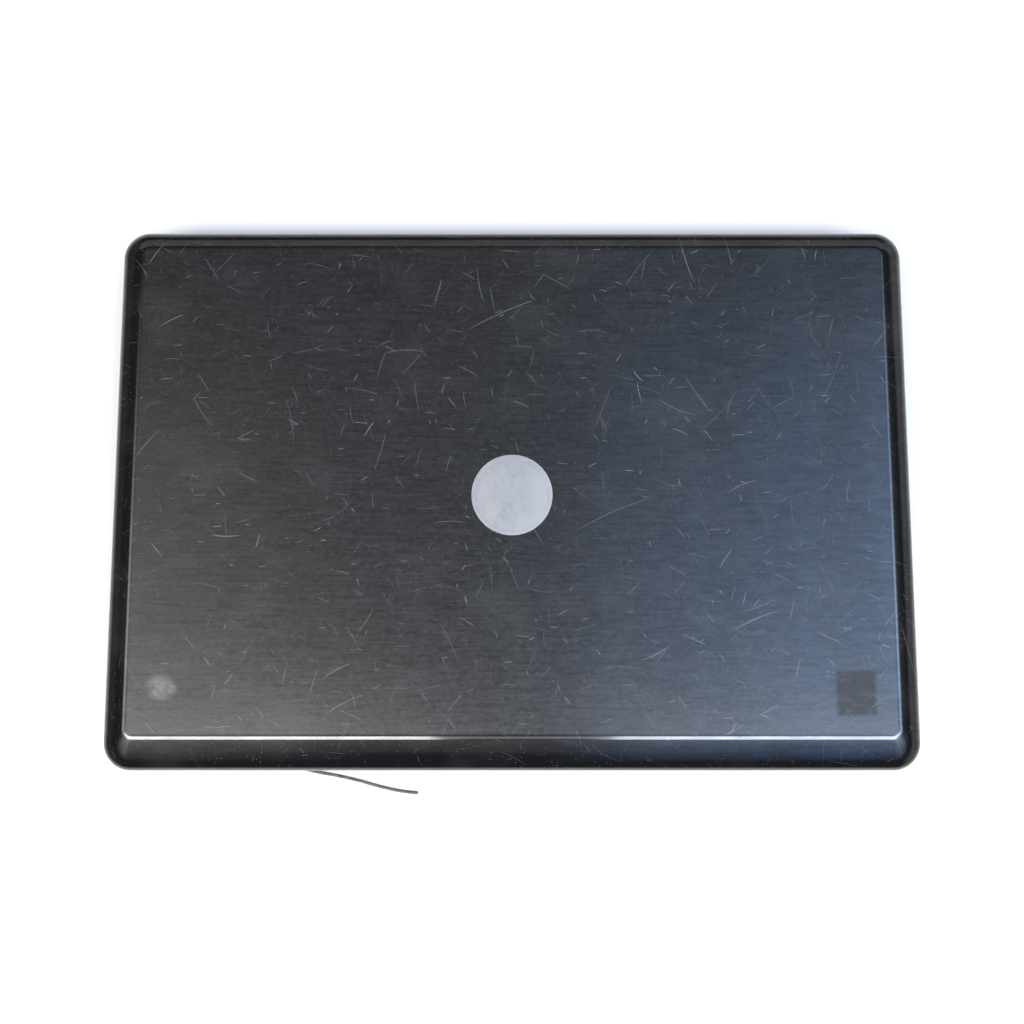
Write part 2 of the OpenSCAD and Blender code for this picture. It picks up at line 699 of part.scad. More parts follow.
// Plastic front of the tray, with a pocket for the eject button and a pinhole
module tray_front() {
    color([0.08, 0.08, 0.085]) difference() {
        block([drive_x[1] + 0.2, base_half], drive_y, [drive_z[0], drive_z[1] - 0.1]);
        block([drive_x[1] - 1, base_half + 1], [eject_y[0] - 0.2, eject_y[1] + 0.2],
            [eject_z[0] - 0.2, eject_z[1] + 0.2]);
        rod_x([drive_x[1] - 1, base_half + 1], eject_y[0] - 4, (eject_z[0] + eject_z[1]) / 2, 0.5);
        block([base_half - 0.4, base_half + 1], [drive_y[0] + 8, drive_y[1] - 30],
            [drive_z[0] + 5.2, drive_z[0] + 5.8]);
    }
}
eject_y = [38, 48];
eject_z = [11, 14];

module eject_button() {
    color([0.2, 0.2, 0.21]) block([drive_x[1] + 1, base_half + 0.6], eject_y, eject_z);
}

module disc_hub() {
    z = drive_z[0] + 1.2;
    color([0.75, 0.75, 0.77]) translate([disc_at[0], disc_at[1], 0]) {
        rod_z(0, 0, [z + 0.2, z + 2.2], 1.5);
        rod_z(0, 0, [z + 2, z + 4.8], 13);
        rod_z(0, 0, [z + 4.7, z + 7.6], 7.4);
        for (a = [0, 120, 240]) rotate([0, 0, a]) translate([6.6, 0, z + 6.6]) sphere(r = 1.2, $fn = 24);
    }
}

// ---------- ports ----------

// Open-fronted metal shell with a tongue, its mouth towards -X
module usb_shell() {
    difference() {
        block([0, 14], [-6.6, 6.6], [0, 5.8]);
        block([-1, 13.2], [-6.1, 6.1], [0.45, 5.35]);
    }
    block([2, 13.5], [-5.4, 5.4], [2.9, 4.7]);
}

module usb_ports() {
    color([0.7, 0.7, 0.72]) {
        for (y = usb_left) translate([-base_half + 0.2, y, board_top]) usb_shell();
        translate([base_half - 0.2, usb_right, board_top]) mirror([1, 0, 0]) usb_shell();
    }
}

module vga_port() {
    mid = port_mid;
    face = -base_half + 0.4;
    color([0.12, 0.2, 0.55]) difference() {
        union() {
            block([face + 1.4, face + 12], [vga_y - 14.8, vga_y + 14.8], [board_top, 18.8]);
            block([face, face + 1.5], [vga_y - 8.2, vga_y + 8.2], [mid - 3.9, mid + 3.9]);
            for (s = [-12.5, 12.5])
                translate([face, vga_y + s, mid]) rotate([0, 90, 0]) cylinder(r = 2.7, h = 1.5, $fn = 6);
        }
        for (s = [-12.5, 12.5]) rod_x([face - 1, face + 8], vga_y + s, mid, 1.4);
        for (row = [-1 : 1]) for (i = [-2 : 2])
            rod_x([face - 1, face + 6], vga_y + 2.3 * i + (row == 0 ? 1.1 : 0) - 0.4, mid + 2.1 * row, 0.5);
    }
}

module ethernet_port() {
    face = -base_half + 0.2;
    color([0.2, 0.2, 0.21]) difference() {
        block([face, face + 16], [ethernet_y - 8, ethernet_y + 8], [board_top, 18.7]);
        block([face - 1, face + 14], [ethernet_y - 5.9, ethernet_y + 5.9], [10.3, 16.9]);
        block([face - 1, face + 14], [ethernet_y - 3, ethernet_y + 3], [16.8, 18]);
    }
}

module audio_jacks() {
    color([0.1, 0.1, 0.1]) for (x = jack_x) difference() {
        union() {
            rod_y(x, [base_front + 0.2, base_front + 3], jack_z, 3.2);
            block([x - 4.5, x + 4.5], [base_front + 2.8, base_front + 15], [12, 18]);
        }
        rod_y(x, [base_front - 1, base_front + 14], jack_z, 1.8);
    }
}

module power_jack() {
    color([0.12, 0.12, 0.12]) {
        difference() {
            union() {
                rod_x([base_half - 3, base_half - 0.2], power_y, port_mid, 4.4);
                block([base_half - 16, base_half - 2.6], [power_y - 5.6, power_y + 5.6], [8.6, 19]);
            }
            rod_x([base_half - 12, base_half + 1], power_y, port_mid, 3.2);
        }
        rod_x([base_half - 12.5, base_half - 2], power_y, port_mid, 0.8);
    }
}

// ---------- keyboard ----------

module keyboard_plate() {
    color([0.1, 0.1, 0.1])
        plate(well_half - 0.4, well_y[0] + 0.4, well_y[1] - 0.4, 2, plate_z, plate_top);
}

// One key: wider at its foot than at its top
module key(x, y, w, d) {
    gap = 0.5;
    taper = 1.6;
    hull() {
        block([x + gap, x + w - gap], [y + gap, y + d - gap], [key_bottom, key_bottom + 0.8]);
        block([x + gap + taper, x + w - gap - taper], [y + gap + taper, y + d - gap - taper], [key_bottom, key_top]);
    }
}

// Sum of the first n widths of a row
function before(widths, n) = n == 0 ? 0 : widths[n - 1] + before(widths, n - 1);

// Row of keys from a list of widths in key units
module key_row(widths, left, front, depth) {
    for (i = [0 : len(widths) - 1])
        key(left + key_x * before(widths, i), front, key_x * widths[i], depth);
}

function ones(n) = [for (i = [1 : n]) 1];
function row_front(n) = keys_front + n * key_y;

module keys_function_row() {
    color([0.05, 0.05, 0.055]) {
        key_row(ones(15), keys_left, row_front(5), function_depth);
        key_row(ones(4), pad_left, row_front(5), function_depth);
    }
}
module keys_number_row() {
    color([0.05, 0.05, 0.055]) key_row(concat(ones(13), [2]), keys_left, row_front(4), key_y);
}
module keys_upper_row() {
    color([0.05, 0.05, 0.055]) key_row(concat([1.5], ones(12), [1.5]), keys_left, row_front(3), key_y);
}
module keys_home_row() {
    color([0.05, 0.05, 0.055]) key_row(concat([1.75], ones(11), [2.25]), keys_left, row_front(2), key_y);
}
module keys_lower_row() {
    color([0.05, 0.05, 0.055]) key_row(concat([2.25], ones(10), [2.75]), keys_left, row_front(1), key_y);
}
module keys_bottom_row() {
    color([0.05, 0.05, 0.055]) {
        key_row([1.25, 1, 1, 1.25], keys_left, row_front(0), key_y);
        key_row([1, 1], keys_left + 10 * key_x, row_front(0), key_y);
    }
}
module space_bar() {
    color([0.05, 0.05, 0.055]) key(keys_left + 4.5 * key_x, row_front(0), 5.5 * key_x, key_y);
}
module arrow_keys() {
    left = keys_left + 12 * key_x;
    color([0.05, 0.05, 0.055]) {
        key(left, row_front(0), key_x, key_y / 2);
        key(left + key_x, row_front(0), key_x, key_y / 2);
        key(left + key_x, row_front(0) + key_y / 2, key_x, key_y / 2);
        key(left + 2 * key_x, row_front(0), key_x, key_y / 2);
    }
}
module number_pad_keys() {
    color([0.05, 0.05, 0.055]) {
        key_row(ones(4), pad_left, row_front(4), key_y);
        for (n = [1 : 3]) key_row(ones(3), pad_left, row_front(n), key_y);
        key_row([2, 1], pad_left, row_front(0), key_y);
        for (n = [0, 2]) key(pad_left + 3 * key_x, row_front(n), key_x, 2 * key_y);
    }
}

// ---------- touchpad and buttons ----------

module touchpad() {
    color([0.07, 0.07, 0.075]) {
        block(pad_x, pad_y, [24.6, deck_z - 0.4]);
        block([pad_x[0] - 2, pad_x[1] + 2], [pad_y[0] + 2, pad_y[1] + 2], [23.4, 24.7]);
    }
}
pad_mid = (pad_x[0] + pad_x[1]) / 2;
module touchpad_button_left() {
    color([0.6, 0.6, 0.62]) block([pad_x[0], pad_mid - 0.3], pad_button_y, [24.4, deck_z - 0.2]);
}
module touchpad_button_right() {
    color([0.6, 0.6, 0.62]) block([pad_mid + 0.3, pad_x[1]], pad_button_y, [24.4, deck_z - 0.2]);
}
power_at = [-166, 92];
power_r = 6;
module power_button() {
    color([0.6, 0.6, 0.62]) difference() {
        rod_z(power_at[0], power_at[1], [24.4, deck_z], power_r);
        rod_z(power_at[0], power_at[1], [deck_z - 0.3, deck_z + 1], power_r - 1.6);
    }
}

// ---------- battery ----------

// Two shells that meet at mid height, with a rebate along each end for the bay's ledges
module battery_case() {
    shell = 1.5;
    mid = 13.6;
    color([0.1, 0.1, 0.11]) difference() {
        union() {
            difference() {
                battery_block(0, belly_z, mid - 0.05);
                battery_block(shell, belly_z + shell, mid + 1);
            }
            difference() {
                battery_block(0, mid + 0.05, battery_top);
                battery_block(shell, mid - 1, battery_top - shell);
            }
        }
        both_sides() block([bay_half - 2.8, bay_half], [battery_y - 1, base_rear + 1], [belly_z - 1, belly_z + 1.5]);
    }
}
module battery_block(grow, z0, z1) {
    x = [-battery_half + grow, battery_half - grow];
    hull() {
        block(x, [battery_y + grow, base_rear - grow], [max(z0, belly_z + 4), z1]);
        block(x, [battery_y + grow, base_rear - 2.5 - grow], [z0, z1]);
    }
}

module battery_cells() {
    color([0.2, 0.4, 0.65]) for (x = [-98, -32.5, 33]) for (y = [87.3, 107])
        rod_x([x, x + 65], y, 13.6, 9.2);
}

// Thumb slide in the underside, in front of the battery
module battery_latch() {
    color([0.2, 0.2, 0.21]) {
        difference() {
            block([bay_half - 44.7, bay_half - 23], [57.3, 68.7], [belly_z, belly_z + 0.9]);
            for (i = [0 : 4])
                block([bay_half - 40 + 3 * i, bay_half - 39 + 3 * i], [59, 67], [belly_z - 1, belly_z + 0.4]);
        }
        block([bay_half - 39.6, bay_half - 34], [61.3, 64.7], [belly_z + 0.8, 6.4]);
        block([bay_half - 41, bay_half - 32.6], [59.5, 66.5], [floor_z + 0.2, 6.4]);
    }
}

// ---------- wiring ----------

// Cables in the base. Each starts on the hinge axis, where the lid's cable ends.
module base_wiring() {
    color([0.15, 0.15, 0.16]) {
        cable([[cap_x[0] - 0.3, hinge_y, hinge_z], [112, hinge_y, hinge_z], [110, 104, 22.4], [108.2, 80, 17],
            [108.2, 66, 16], [50, 66, 16], [50, 66, board_top]], 0.8, 10);
        cable([[-cap_x[0] + 0.3, hinge_y, hinge_z], [-112, hinge_y, hinge_z], [-110.4, 104, 22.4], [-107.8, 76, 15],
            [-107.8, 60, 12], [-105, 50, 12], [-105, 50, board_top]], 1.2, 10);
    }
}

module antenna_lead() {
    color([0.33, 0.26, 0.23]) cable(lead_route, lead_d / 2, 8);
}

lid_cover();
lid_badge();
display_bezel();
bezel_bumpers();
lcd_frame();
lcd_glass();
lcd_backlight();
inverter_board();
webcam_board();
webcam_lens();
wifi_antennas();
lid_wiring();
hinge_arms();
hinge_caps();
hinge_pins();
base_cover();
top_cover();
hinge_brackets();
hinge_covers();
motherboard();
heat_sink();
fan_housing();
fan_rotor();
memory_modules();
wireless_card();
hard_drive();
speakers();
optical_drive();
disc_tray();
tray_front();
disc_hub();
eject_button();
usb_ports();
vga_port();
ethernet_port();
audio_jacks();
power_jack();
keyboard_plate();
keys_function_row();
keys_number_row();
keys_upper_row();
keys_home_row();
keys_lower_row();
keys_bottom_row();
space_bar();
arrow_keys();
number_pad_keys();
touchpad();
touchpad_button_left();
touchpad_button_right();
power_button();
battery_case();
battery_cells();
battery_latch();
hard_drive_door();
memory_door();
feet();
case_screws();
base_wiring();
antenna_lead();
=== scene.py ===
"""Laptop computer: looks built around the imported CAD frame. Metres throughout."""
import math
import random

import bpy
from mathutils import Matrix, Vector
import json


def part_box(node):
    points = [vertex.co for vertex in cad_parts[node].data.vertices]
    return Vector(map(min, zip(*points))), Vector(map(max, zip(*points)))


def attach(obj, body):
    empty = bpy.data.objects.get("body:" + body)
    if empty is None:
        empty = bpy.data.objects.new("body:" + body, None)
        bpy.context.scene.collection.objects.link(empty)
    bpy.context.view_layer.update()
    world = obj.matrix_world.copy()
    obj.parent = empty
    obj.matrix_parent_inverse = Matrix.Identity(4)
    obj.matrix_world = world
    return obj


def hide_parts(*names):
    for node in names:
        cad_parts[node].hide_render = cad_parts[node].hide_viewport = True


MM = 0.001

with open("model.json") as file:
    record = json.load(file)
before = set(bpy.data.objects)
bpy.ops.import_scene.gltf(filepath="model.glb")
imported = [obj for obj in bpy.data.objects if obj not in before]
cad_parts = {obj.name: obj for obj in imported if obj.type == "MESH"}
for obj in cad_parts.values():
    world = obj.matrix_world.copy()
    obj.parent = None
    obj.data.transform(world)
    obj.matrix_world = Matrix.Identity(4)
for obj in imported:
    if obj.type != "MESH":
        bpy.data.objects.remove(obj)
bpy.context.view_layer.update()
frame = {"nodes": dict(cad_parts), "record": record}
slot_of = {s["node"]: s["material_slot"] for s in frame["record"]["subparts"]}
body_of_node = {
    node: body
    for body, nodes in frame["record"]["behaviour"]["bodies"].items()
    for node in nodes
}

# ---------------------------------------------------------------- camera

lid_low, lid_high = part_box("lid_cover")
# Height in mm of the lid's upright rim, then the height in metres where it ends and the roll begins
RIM_WALL = 1.3
RIM_HEIGHT = lid_low.z + RIM_WALL * MM
CAMERA_DISTANCE = 476 * MM
CAMERA_TILT = math.radians(6.17)
# How far the camera's aim lies from the lid's middle, towards the hinge edge
AIM_SHIFT = 8.2 * MM
FOCAL_LENGTH = 35.16


def make_camera():
    """Looks down on the lid from over its hinge half. The hinge edge is at the picture's bottom."""
    forward = Vector((0, -math.sin(CAMERA_TILT), -math.cos(CAMERA_TILT)))
    up = Vector((0, -math.cos(CAMERA_TILT), math.sin(CAMERA_TILT)))
    right = forward.cross(up)
    data = bpy.data.cameras.new("camera")
    data.lens = FOCAL_LENGTH
    data.sensor_width = 36
    data.clip_start = 0.01
    camera = bpy.data.objects.new("camera", data)
    bpy.context.scene.collection.objects.link(camera)
    target = Vector((0, 0, RIM_HEIGHT))
    place = target - CAMERA_DISTANCE * forward - AIM_SHIFT * up
    camera.matrix_world = Matrix.Translation(place) @ Matrix((right, up, -forward)).transposed().to_4x4()
    bpy.context.scene.camera = camera


make_camera()

# ---------------------------------------------------------------- shapes


def add_object(name, data, body, material=None, replaces=()):
    """Links a new object, gives it its material and makes it ride on a body."""
    made = bpy.data.objects.new(name, data)
    bpy.context.scene.collection.objects.link(made)
    if material is not None:
        data.materials.append(material)
    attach(made, body)
    if replaces:
        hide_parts(*replaces)
    return made


def mesh_from(name, points, faces, smooth=True):
    """Mesh data from points in millimetres."""
    mesh = bpy.data.meshes.new(name)
    mesh.from_pydata([tuple(c * MM for c in p) for p in points], [], faces)
    mesh.validate()
    if smooth:
        for face in mesh.polygons:
            face.use_smooth = True
    return mesh


def rounded_outline(half, front, rear, radius, steps):
    """Points of a rounded rectangle in plan, counter-clockwise from the rear right corner."""
    points = []
    for side_x, side_y, start in ((1, 1, 0), (-1, 1, 90), (-1, -1, 180), (1, -1, 270)):
        centre_x = side_x * (half - radius)
        centre_y = rear - radius if side_y > 0 else front + radius
        for i in range(steps + 1):
            angle = math.radians(start + 90 * i / steps)
            points.append((centre_x + radius * math.cos(angle), centre_y + radius * math.sin(angle)))
    return points


# ---------------------------------------------------------------- stray lead

# In mm, as the CAD lead
LEAD_DIAMETER = 1.4
LEAD_ROUTE = [
    (113, 118.5, 6.5), (113, 121, 6.4), (112.9, 123.2, 5.7), (112.5, 125.2, 4.4), (111.5, 127, 3),
    (109.8, 128.6, 1.9), (107.4, 130, 1.2), (104.6, 131.2, 0.85), (101.4, 132.2, 0.75), (98, 133, 0.75),
    (94, 133.8, 0.75), (90, 134.5, 0.75), (86, 135.2, 0.75), (82, 136, 0.75), (78, 136.9, 0.75),
    (74, 137.9, 0.75), (70, 139, 0.75), (66, 140.1, 0.75), (62, 141.1, 0.75), (58, 142, 0.75),
    (54, 142.7, 0.75), (50, 143.2, 0.75), (46, 143.5, 0.75),
]


def make_lead():
    """The antenna lead that hangs out under the hinge edge, cut off at its far end."""
    curve = bpy.data.curves.new("antenna_lead_visual", "CURVE")
    curve.dimensions = "3D"
    # Each point's radius is the lead's own, so the depth only passes it on
    curve.bevel_depth = 1
    curve.bevel_resolution = 5
    curve.use_fill_caps = True
    spline = curve.splines.new("POLY")
    spline.points.add(len(LEAD_ROUTE) - 1)
    for point, place in zip(spline.points, LEAD_ROUTE):
        point.co = (*(c * MM for c in place), 1)
        point.radius = LEAD_DIAMETER / 2 * MM
    spline.use_smooth = True
    lead = add_object("stray_lead", curve, "base", replaces=("antenna_lead",))
    return lead


lead = make_lead()

# ---------------------------------------------------------------- materials


class Material:
    """A node-based material: a Principled shader, and helpers for the patterns that feed it."""

    def __init__(self, name, color, roughness, metallic=0.0, **sockets):
        self.data = bpy.data.materials.new(name)
        self.data.use_nodes = True
        self.tree = self.data.node_tree
        self.shader = self.tree.nodes["Principled BSDF"]
        self.color = color
        self.put("Base Color", (*color, 1))
        self.put("Roughness", roughness)
        self.put("Metallic", metallic)
        for socket, value in sockets.items():
            self.put(socket.replace("_", " "), value)
        self.height = None
        self.place = self.node("ShaderNodeTexCoord").outputs["Object"]

    def node(self, kind, inputs=(), **settings):
        """Adds a node: inputs are sockets to link or values to set, settings are its properties."""
        made = self.tree.nodes.new(kind)
        for key, value in settings.items():
            setattr(made, key, value)
        for key, value in dict(inputs).items():
            if isinstance(value, bpy.types.NodeSocket):
                self.tree.links.new(value, made.inputs[key])
            else:
                made.inputs[key].default_value = value
        return made

    def put(self, socket, value):
        """Links or sets one socket of the shader."""
        if isinstance(value, bpy.types.NodeSocket):
            self.tree.links.new(value, self.shader.inputs[socket])
        else:
            self.shader.inputs[socket].default_value = value

    def math(self, operation, a, b=0.0, clamp=False):
        """The result of an operation on sockets or values."""
        return self.node("ShaderNodeMath", {0: a, 1: b}, operation=operation, use_clamp=clamp).outputs[0]

    def stretched(self, scale, turn=0.0, shift=(0, 0, 0)):
        """The place on the object, in cells: scale is cells per metre along X, Y and Z."""
        mapping = self.node("ShaderNodeMapping", {"Vector": self.place})
        mapping.inputs["Rotation"].default_value = (0, 0, turn)
        mapping.inputs["Scale"].default_value = scale
        mapping.inputs["Location"].default_value = shift
        return mapping.outputs[0]

    def noise(self, scale, detail=2.0, turn=0.0, distortion=0.0):
        """Soft noise from 0 to 1. scale is cells per metre, one number or one for each axis."""
        if isinstance(scale, (int, float)):
            scale = (scale, scale, scale)
        inputs = {
            "Vector": self.stretched(scale, turn),
            "Scale": 1.0,
            "Detail": detail,
            "Distortion": distortion,
        }
        return self.node("ShaderNodeTexNoise", inputs).outputs["Fac"]

    def remap(self, value, low, high, to_low=0.0, to_high=1.0):
        """A value moved from one range to another, and held within it."""
        inputs = {"Value": value, "From Min": low, "From Max": high, "To Min": to_low, "To Max": to_high}
        return self.node("ShaderNodeMapRange", inputs, clamp=True).outputs[0]

    def mix(self, amount, a, b):
        """The colour between two colours: a where the amount is 0 and b where it is 1."""
        made = self.node("ShaderNodeMix", data_type="RGBA")
        for index, value in ((0, amount), (6, a), (7, b)):
            if isinstance(value, bpy.types.NodeSocket):
                self.tree.links.new(value, made.inputs[index])
            else:
                made.inputs[index].default_value = value if index == 0 else (*value, 1)
        return made.outputs[2]

    def bump(self, height, distance, strength=1.0):
        """Adds a height pattern, distance metres from its lowest to its highest."""
        inputs = {"Height": height, "Distance": distance, "Strength": strength}
        if self.height is not None:
            inputs["Normal"] = self.height
        self.height = self.node("ShaderNodeBump", inputs).outputs[0]
        self.put("Normal", self.height)

    def specks(self, scale, size, share, shift=(0, 0, 0)):
        """Small round specks, 1 inside and 0 outside. share is how many of the cells hold one."""
        inputs = {"Vector": self.stretched((scale,) * 3, 0.4, shift), "Scale": 1.0}
        cells = self.node("ShaderNodeTexVoronoi", inputs)
        inside = self.remap(cells.outputs["Distance"], size * 0.6, size, 1, 0)
        draw = self.node("ShaderNodeSeparateColor", {0: cells.outputs["Color"]}).outputs[0]
        chosen = self.math("LESS_THAN", draw, share)
        return self.math("MULTIPLY", inside, chosen)

    def strokes(self, cells, size, width, share, seed):
        """Short curved scratches, each in a cell of its own and turned at random.

        cells is cells per metre, size and width are in metres, and share is how many cells hold one.
        """
        draw_shift = random.Random(seed)
        shift = tuple(draw_shift.uniform(-9, 9) for _ in range(3))
        at = self.node("ShaderNodeVectorMath", {0: self.place, 1: (1, 1, 0)}, operation="MULTIPLY").outputs[0]
        at = self.node("ShaderNodeVectorMath", {0: at, 1: shift}, operation="ADD").outputs[0]
        cell = self.node("ShaderNodeTexVoronoi", {"Vector": at, "Scale": cells}, voronoi_dimensions="2D")
        centre = cell.outputs["Position"]
        away = self.node("ShaderNodeVectorMath", {0: at, 1: centre}, operation="SUBTRACT").outputs[0]
        draws = self.node("ShaderNodeSeparateColor", {0: cell.outputs["Color"]}).outputs
        turned = self.node(
            "ShaderNodeVectorRotate",
            {"Vector": away, "Angle": self.math("MULTIPLY", draws[0], 2 * math.pi)},
            rotation_type="Z_AXIS",
        ).outputs[0]
        along, across, _ = self.node("ShaderNodeSeparateXYZ", {0: turned}).outputs
        bend = self.math("MULTIPLY", self.math("SUBTRACT", draws[1], 0.5), 0.5 / size)
        bow = self.math("MULTIPLY", self.math("MULTIPLY", along, along), bend)
        off = self.math("ABSOLUTE", self.math("SUBTRACT", across, bow))
        reach = self.math("MULTIPLY", self.math("ADD", draws[2], 0.3), size / 2)
        inside = self.remap(self.math("DIVIDE", self.math("ABSOLUTE", along), reach), 0.55, 1.0, 1, 0)
        thin = self.remap(off, width * 0.3, width, 1, 0)
        # One more draw, made from the first: whether the cell holds a scratch, and how bright it is
        draw = self.math("FRACT", self.math("MULTIPLY", draws[0], 7.13))
        bright = self.math("POWER", self.remap(draw, 0.0, share, 1, 0), 2.2)
        return self.math("MULTIPLY", self.math("MULTIPLY", inside, thin), bright)

    def patch(self, centre, half, soft):
        """1 inside a rectangle seen from above, fading to 0 over its soft edge. Sizes in mm."""
        x, y, _ = self.node("ShaderNodeSeparateXYZ", {0: self.place}).outputs
        total = None
        for value, middle, reach in ((x, centre[0], half[0]), (y, centre[1], half[1])):
            away = self.math("ABSOLUTE", self.math("SUBTRACT", value, middle * MM))
            one = self.remap(away, reach * MM, (reach + soft) * MM, 1, 0)
            total = one if total is None else self.math("MULTIPLY", total, one)
        return total

    def below(self, low, high):
        """1 under the lower height and fading to 0 at the upper one, both in metres."""
        height = self.node("ShaderNodeSeparateXYZ", {0: self.place}).outputs[2]
        return self.remap(height, low, high, 1, 0)

    def spot(self, centre, radii):
        """1 in the middle of an ellipse seen from above, fading to 0 at its edge. Sizes in mm."""
        inputs = {0: self.place, 1: (centre[0] * MM, centre[1] * MM, 0)}
        away = self.node("ShaderNodeVectorMath", inputs, operation="SUBTRACT").outputs[0]
        inputs = {0: away, 1: (1 / radii[0] / MM, 1 / radii[1] / MM, 0)}
        scaled = self.node("ShaderNodeVectorMath", inputs, operation="MULTIPLY").outputs[0]
        length = self.node("ShaderNodeVectorMath", {0: scaled}, operation="LENGTH").outputs["Value"]
        return self.remap(length, 0.55, 1.0, 1, 0)


# The lid's rolled edges and its flat panel, in mm
ROLL_SIDE, ROLL_FRONT, ROLL_REAR = 12.3, 10.3, 17.2
LID_HALF, LID_FRONT, LID_REAR = (round(c / MM, 3) for c in (lid_high.x, lid_low.y, lid_high.y))
PANEL_MIDDLE = (LID_FRONT + ROLL_FRONT + LID_REAR - ROLL_REAR) / 2
PANEL_HALF = (LID_HALF - ROLL_SIDE, (LID_REAR - ROLL_REAR - LID_FRONT - ROLL_FRONT) / 2)

# Cells per metre, length in metres, width in mm, share of cells that hold a scratch, and seed
LID_STROKES = [
    (20, 0.034, 0.16, 0.5, 1),
    (26, 0.024, 0.13, 0.6, 2),
    (48, 0.014, 0.13, 0.7, 3),
    (80, 0.008, 0.13, 0.5, 4),
    (140, 0.004, 0.14, 0.45, 5),
    (75, 0.010, 0.09, 0.8, 6),
    (34, 0.020, 0.10, 0.8, 7),
]


def shade(color, factor):
    """A lighter or darker shade of a colour."""
    return tuple(min(c * factor, 1) for c in color)


def worn_edges(look, radius):
    """1 on sharp edges, 0 elsewhere: how far a rounded-off normal leans from the true one."""
    rounded = look.node("ShaderNodeBevel", {"Radius": radius}, samples=4).outputs[0]
    true = look.node("ShaderNodeNewGeometry").outputs["Normal"]
    lean = look.node("ShaderNodeVectorMath", {0: rounded, 1: true}, operation="DOT_PRODUCT").outputs["Value"]
    return look.remap(lean, 0.995, 0.85)


def plastic(name, color, roughness, grain=0.35, depth=0.03, wear=0.5):
    """Moulded plastic: a spark-eroded grain, uneven gloss, faint dust and polished edges. Sizes in mm."""
    look = Material(name, color, roughness)
    patches = look.noise(38, 4.0)
    fine = look.noise(1000 / grain, 2.0)
    edges = worn_edges(look, 0.5 * MM)
    base = look.mix(look.remap(patches, 0.3, 0.7), shade(color, 0.93), shade(color, 1.08))
    base = look.mix(look.math("MULTIPLY", edges, wear), base, shade(color, 2.4))
    base = look.mix(look.math("MULTIPLY", look.specks(420, 0.16, 0.2), 0.5), base, (0.35, 0.34, 0.32))
    look.put("Base Color", base)
    gloss = look.remap(look.noise(90, 5.0), 0.3, 0.7, roughness - 0.07, roughness + 0.07)
    look.put("Roughness", look.math("SUBTRACT", gloss, look.math("MULTIPLY", edges, 0.12 * wear)))
    look.bump(fine, depth * MM, 0.7)
    return look.data


def metal(name, color, roughness, grain=(40, 1400, 1400)):
    """Brushed or rolled metal: fine lines along one axis, stains and fingermarks."""
    look = Material(name, color, roughness, 1.0)
    lines = look.noise(grain, 3.0)
    stains = look.noise(45, 4.0)
    look.put("Base Color", look.mix(look.remap(stains, 0.35, 0.75), shade(color, 0.85), shade(color, 1.08)))
    brushed = look.remap(lines, 0.3, 0.7, -0.07, 0.07)
    stained = look.remap(stains, 0.3, 0.7, -0.05, 0.08)
    uneven = look.math("ADD", brushed, stained)
    look.put("Roughness", look.math("ADD", uneven, roughness, clamp=True))
    look.bump(lines, 0.012 * MM, 0.5)
    return look.data


def rubber(name, color):
    """Matt rubber with a fine grain."""
    look = Material(name, color, 0.8)
    look.put("Base Color", look.mix(look.remap(look.noise(160, 4.0), 0.35, 0.75), color, shade(color, 2.0)))
    look.bump(look.noise(2600, 2.0), 0.05 * MM)
    return look.data


def board(name, color):
    """Circuit board: solder mask over tracks, with rows of small pads and dark chips."""
    look = Material(name, color, 0.35, Coat_Weight=0.4)
    inputs = {
        "Vector": look.stretched((1, 1, 1)),
        "Scale": 260.0,
        "Mortar Size": 0.02,
        "Brick Width": 2.2,
        "Row Height": 0.24,
    }
    tracks = look.node("ShaderNodeTexBrick", inputs).outputs["Fac"]
    pads = look.specks(520, 0.3, 0.35)
    inputs = {"Vector": look.stretched((95, 95, 0)), "Scale": 1.0}
    squares = look.node("ShaderNodeTexVoronoi", inputs, distance="CHEBYCHEV").outputs["Distance"]
    chips = look.remap(squares, 0.2, 0.22, 1, 0)
    base = look.mix(look.math("MULTIPLY", tracks, 0.6), color, shade(color, 2.1))
    base = look.mix(pads, base, (0.62, 0.6, 0.52))
    base = look.mix(look.math("MULTIPLY", chips, 0.92), base, (0.018, 0.018, 0.02))
    look.put("Base Color", base)
    look.put("Roughness", look.remap(look.noise(300, 3.0), 0.3, 0.7, 0.26, 0.5))
    height = look.math("ADD", look.math("MULTIPLY", chips, 0.6), look.math("MULTIPLY", tracks, 0.15))
    look.bump(height, 0.4 * MM)
    return look.data


def cable_sleeve(name, color):
    """Extruded sleeve with a faint braid pressed into it."""
    look = Material(name, color, 0.45)
    braid = look.remap(look.noise(300, 3.0), 0.35, 0.7)
    look.put("Base Color", look.mix(braid, shade(color, 0.75), shade(color, 1.5)))
    look.put("Roughness", look.remap(look.noise(700, 3.0), 0.3, 0.7, 0.35, 0.6))
    look.bump(look.noise((900, 900, 900), 2.0, distortion=1.0), 0.05 * MM)
    return look.data


def lid_scratches(look, panel):
    """Scratches of several lengths, stronger in some places and fainter off the flat panel."""
    lines = None
    for cells, size, width, share, seed in LID_STROKES:
        one = look.strokes(cells, size, width * MM, share, seed)
        lines = one if lines is None else look.math("MAXIMUM", lines, one)
    lines = look.math("MULTIPLY", lines, look.remap(look.noise(26, 3.0), 0.38, 0.62, 0.45, 1.0))
    return look.math("MULTIPLY", lines, look.remap(panel, 0.0, 1.0, 0.4, 1.0))


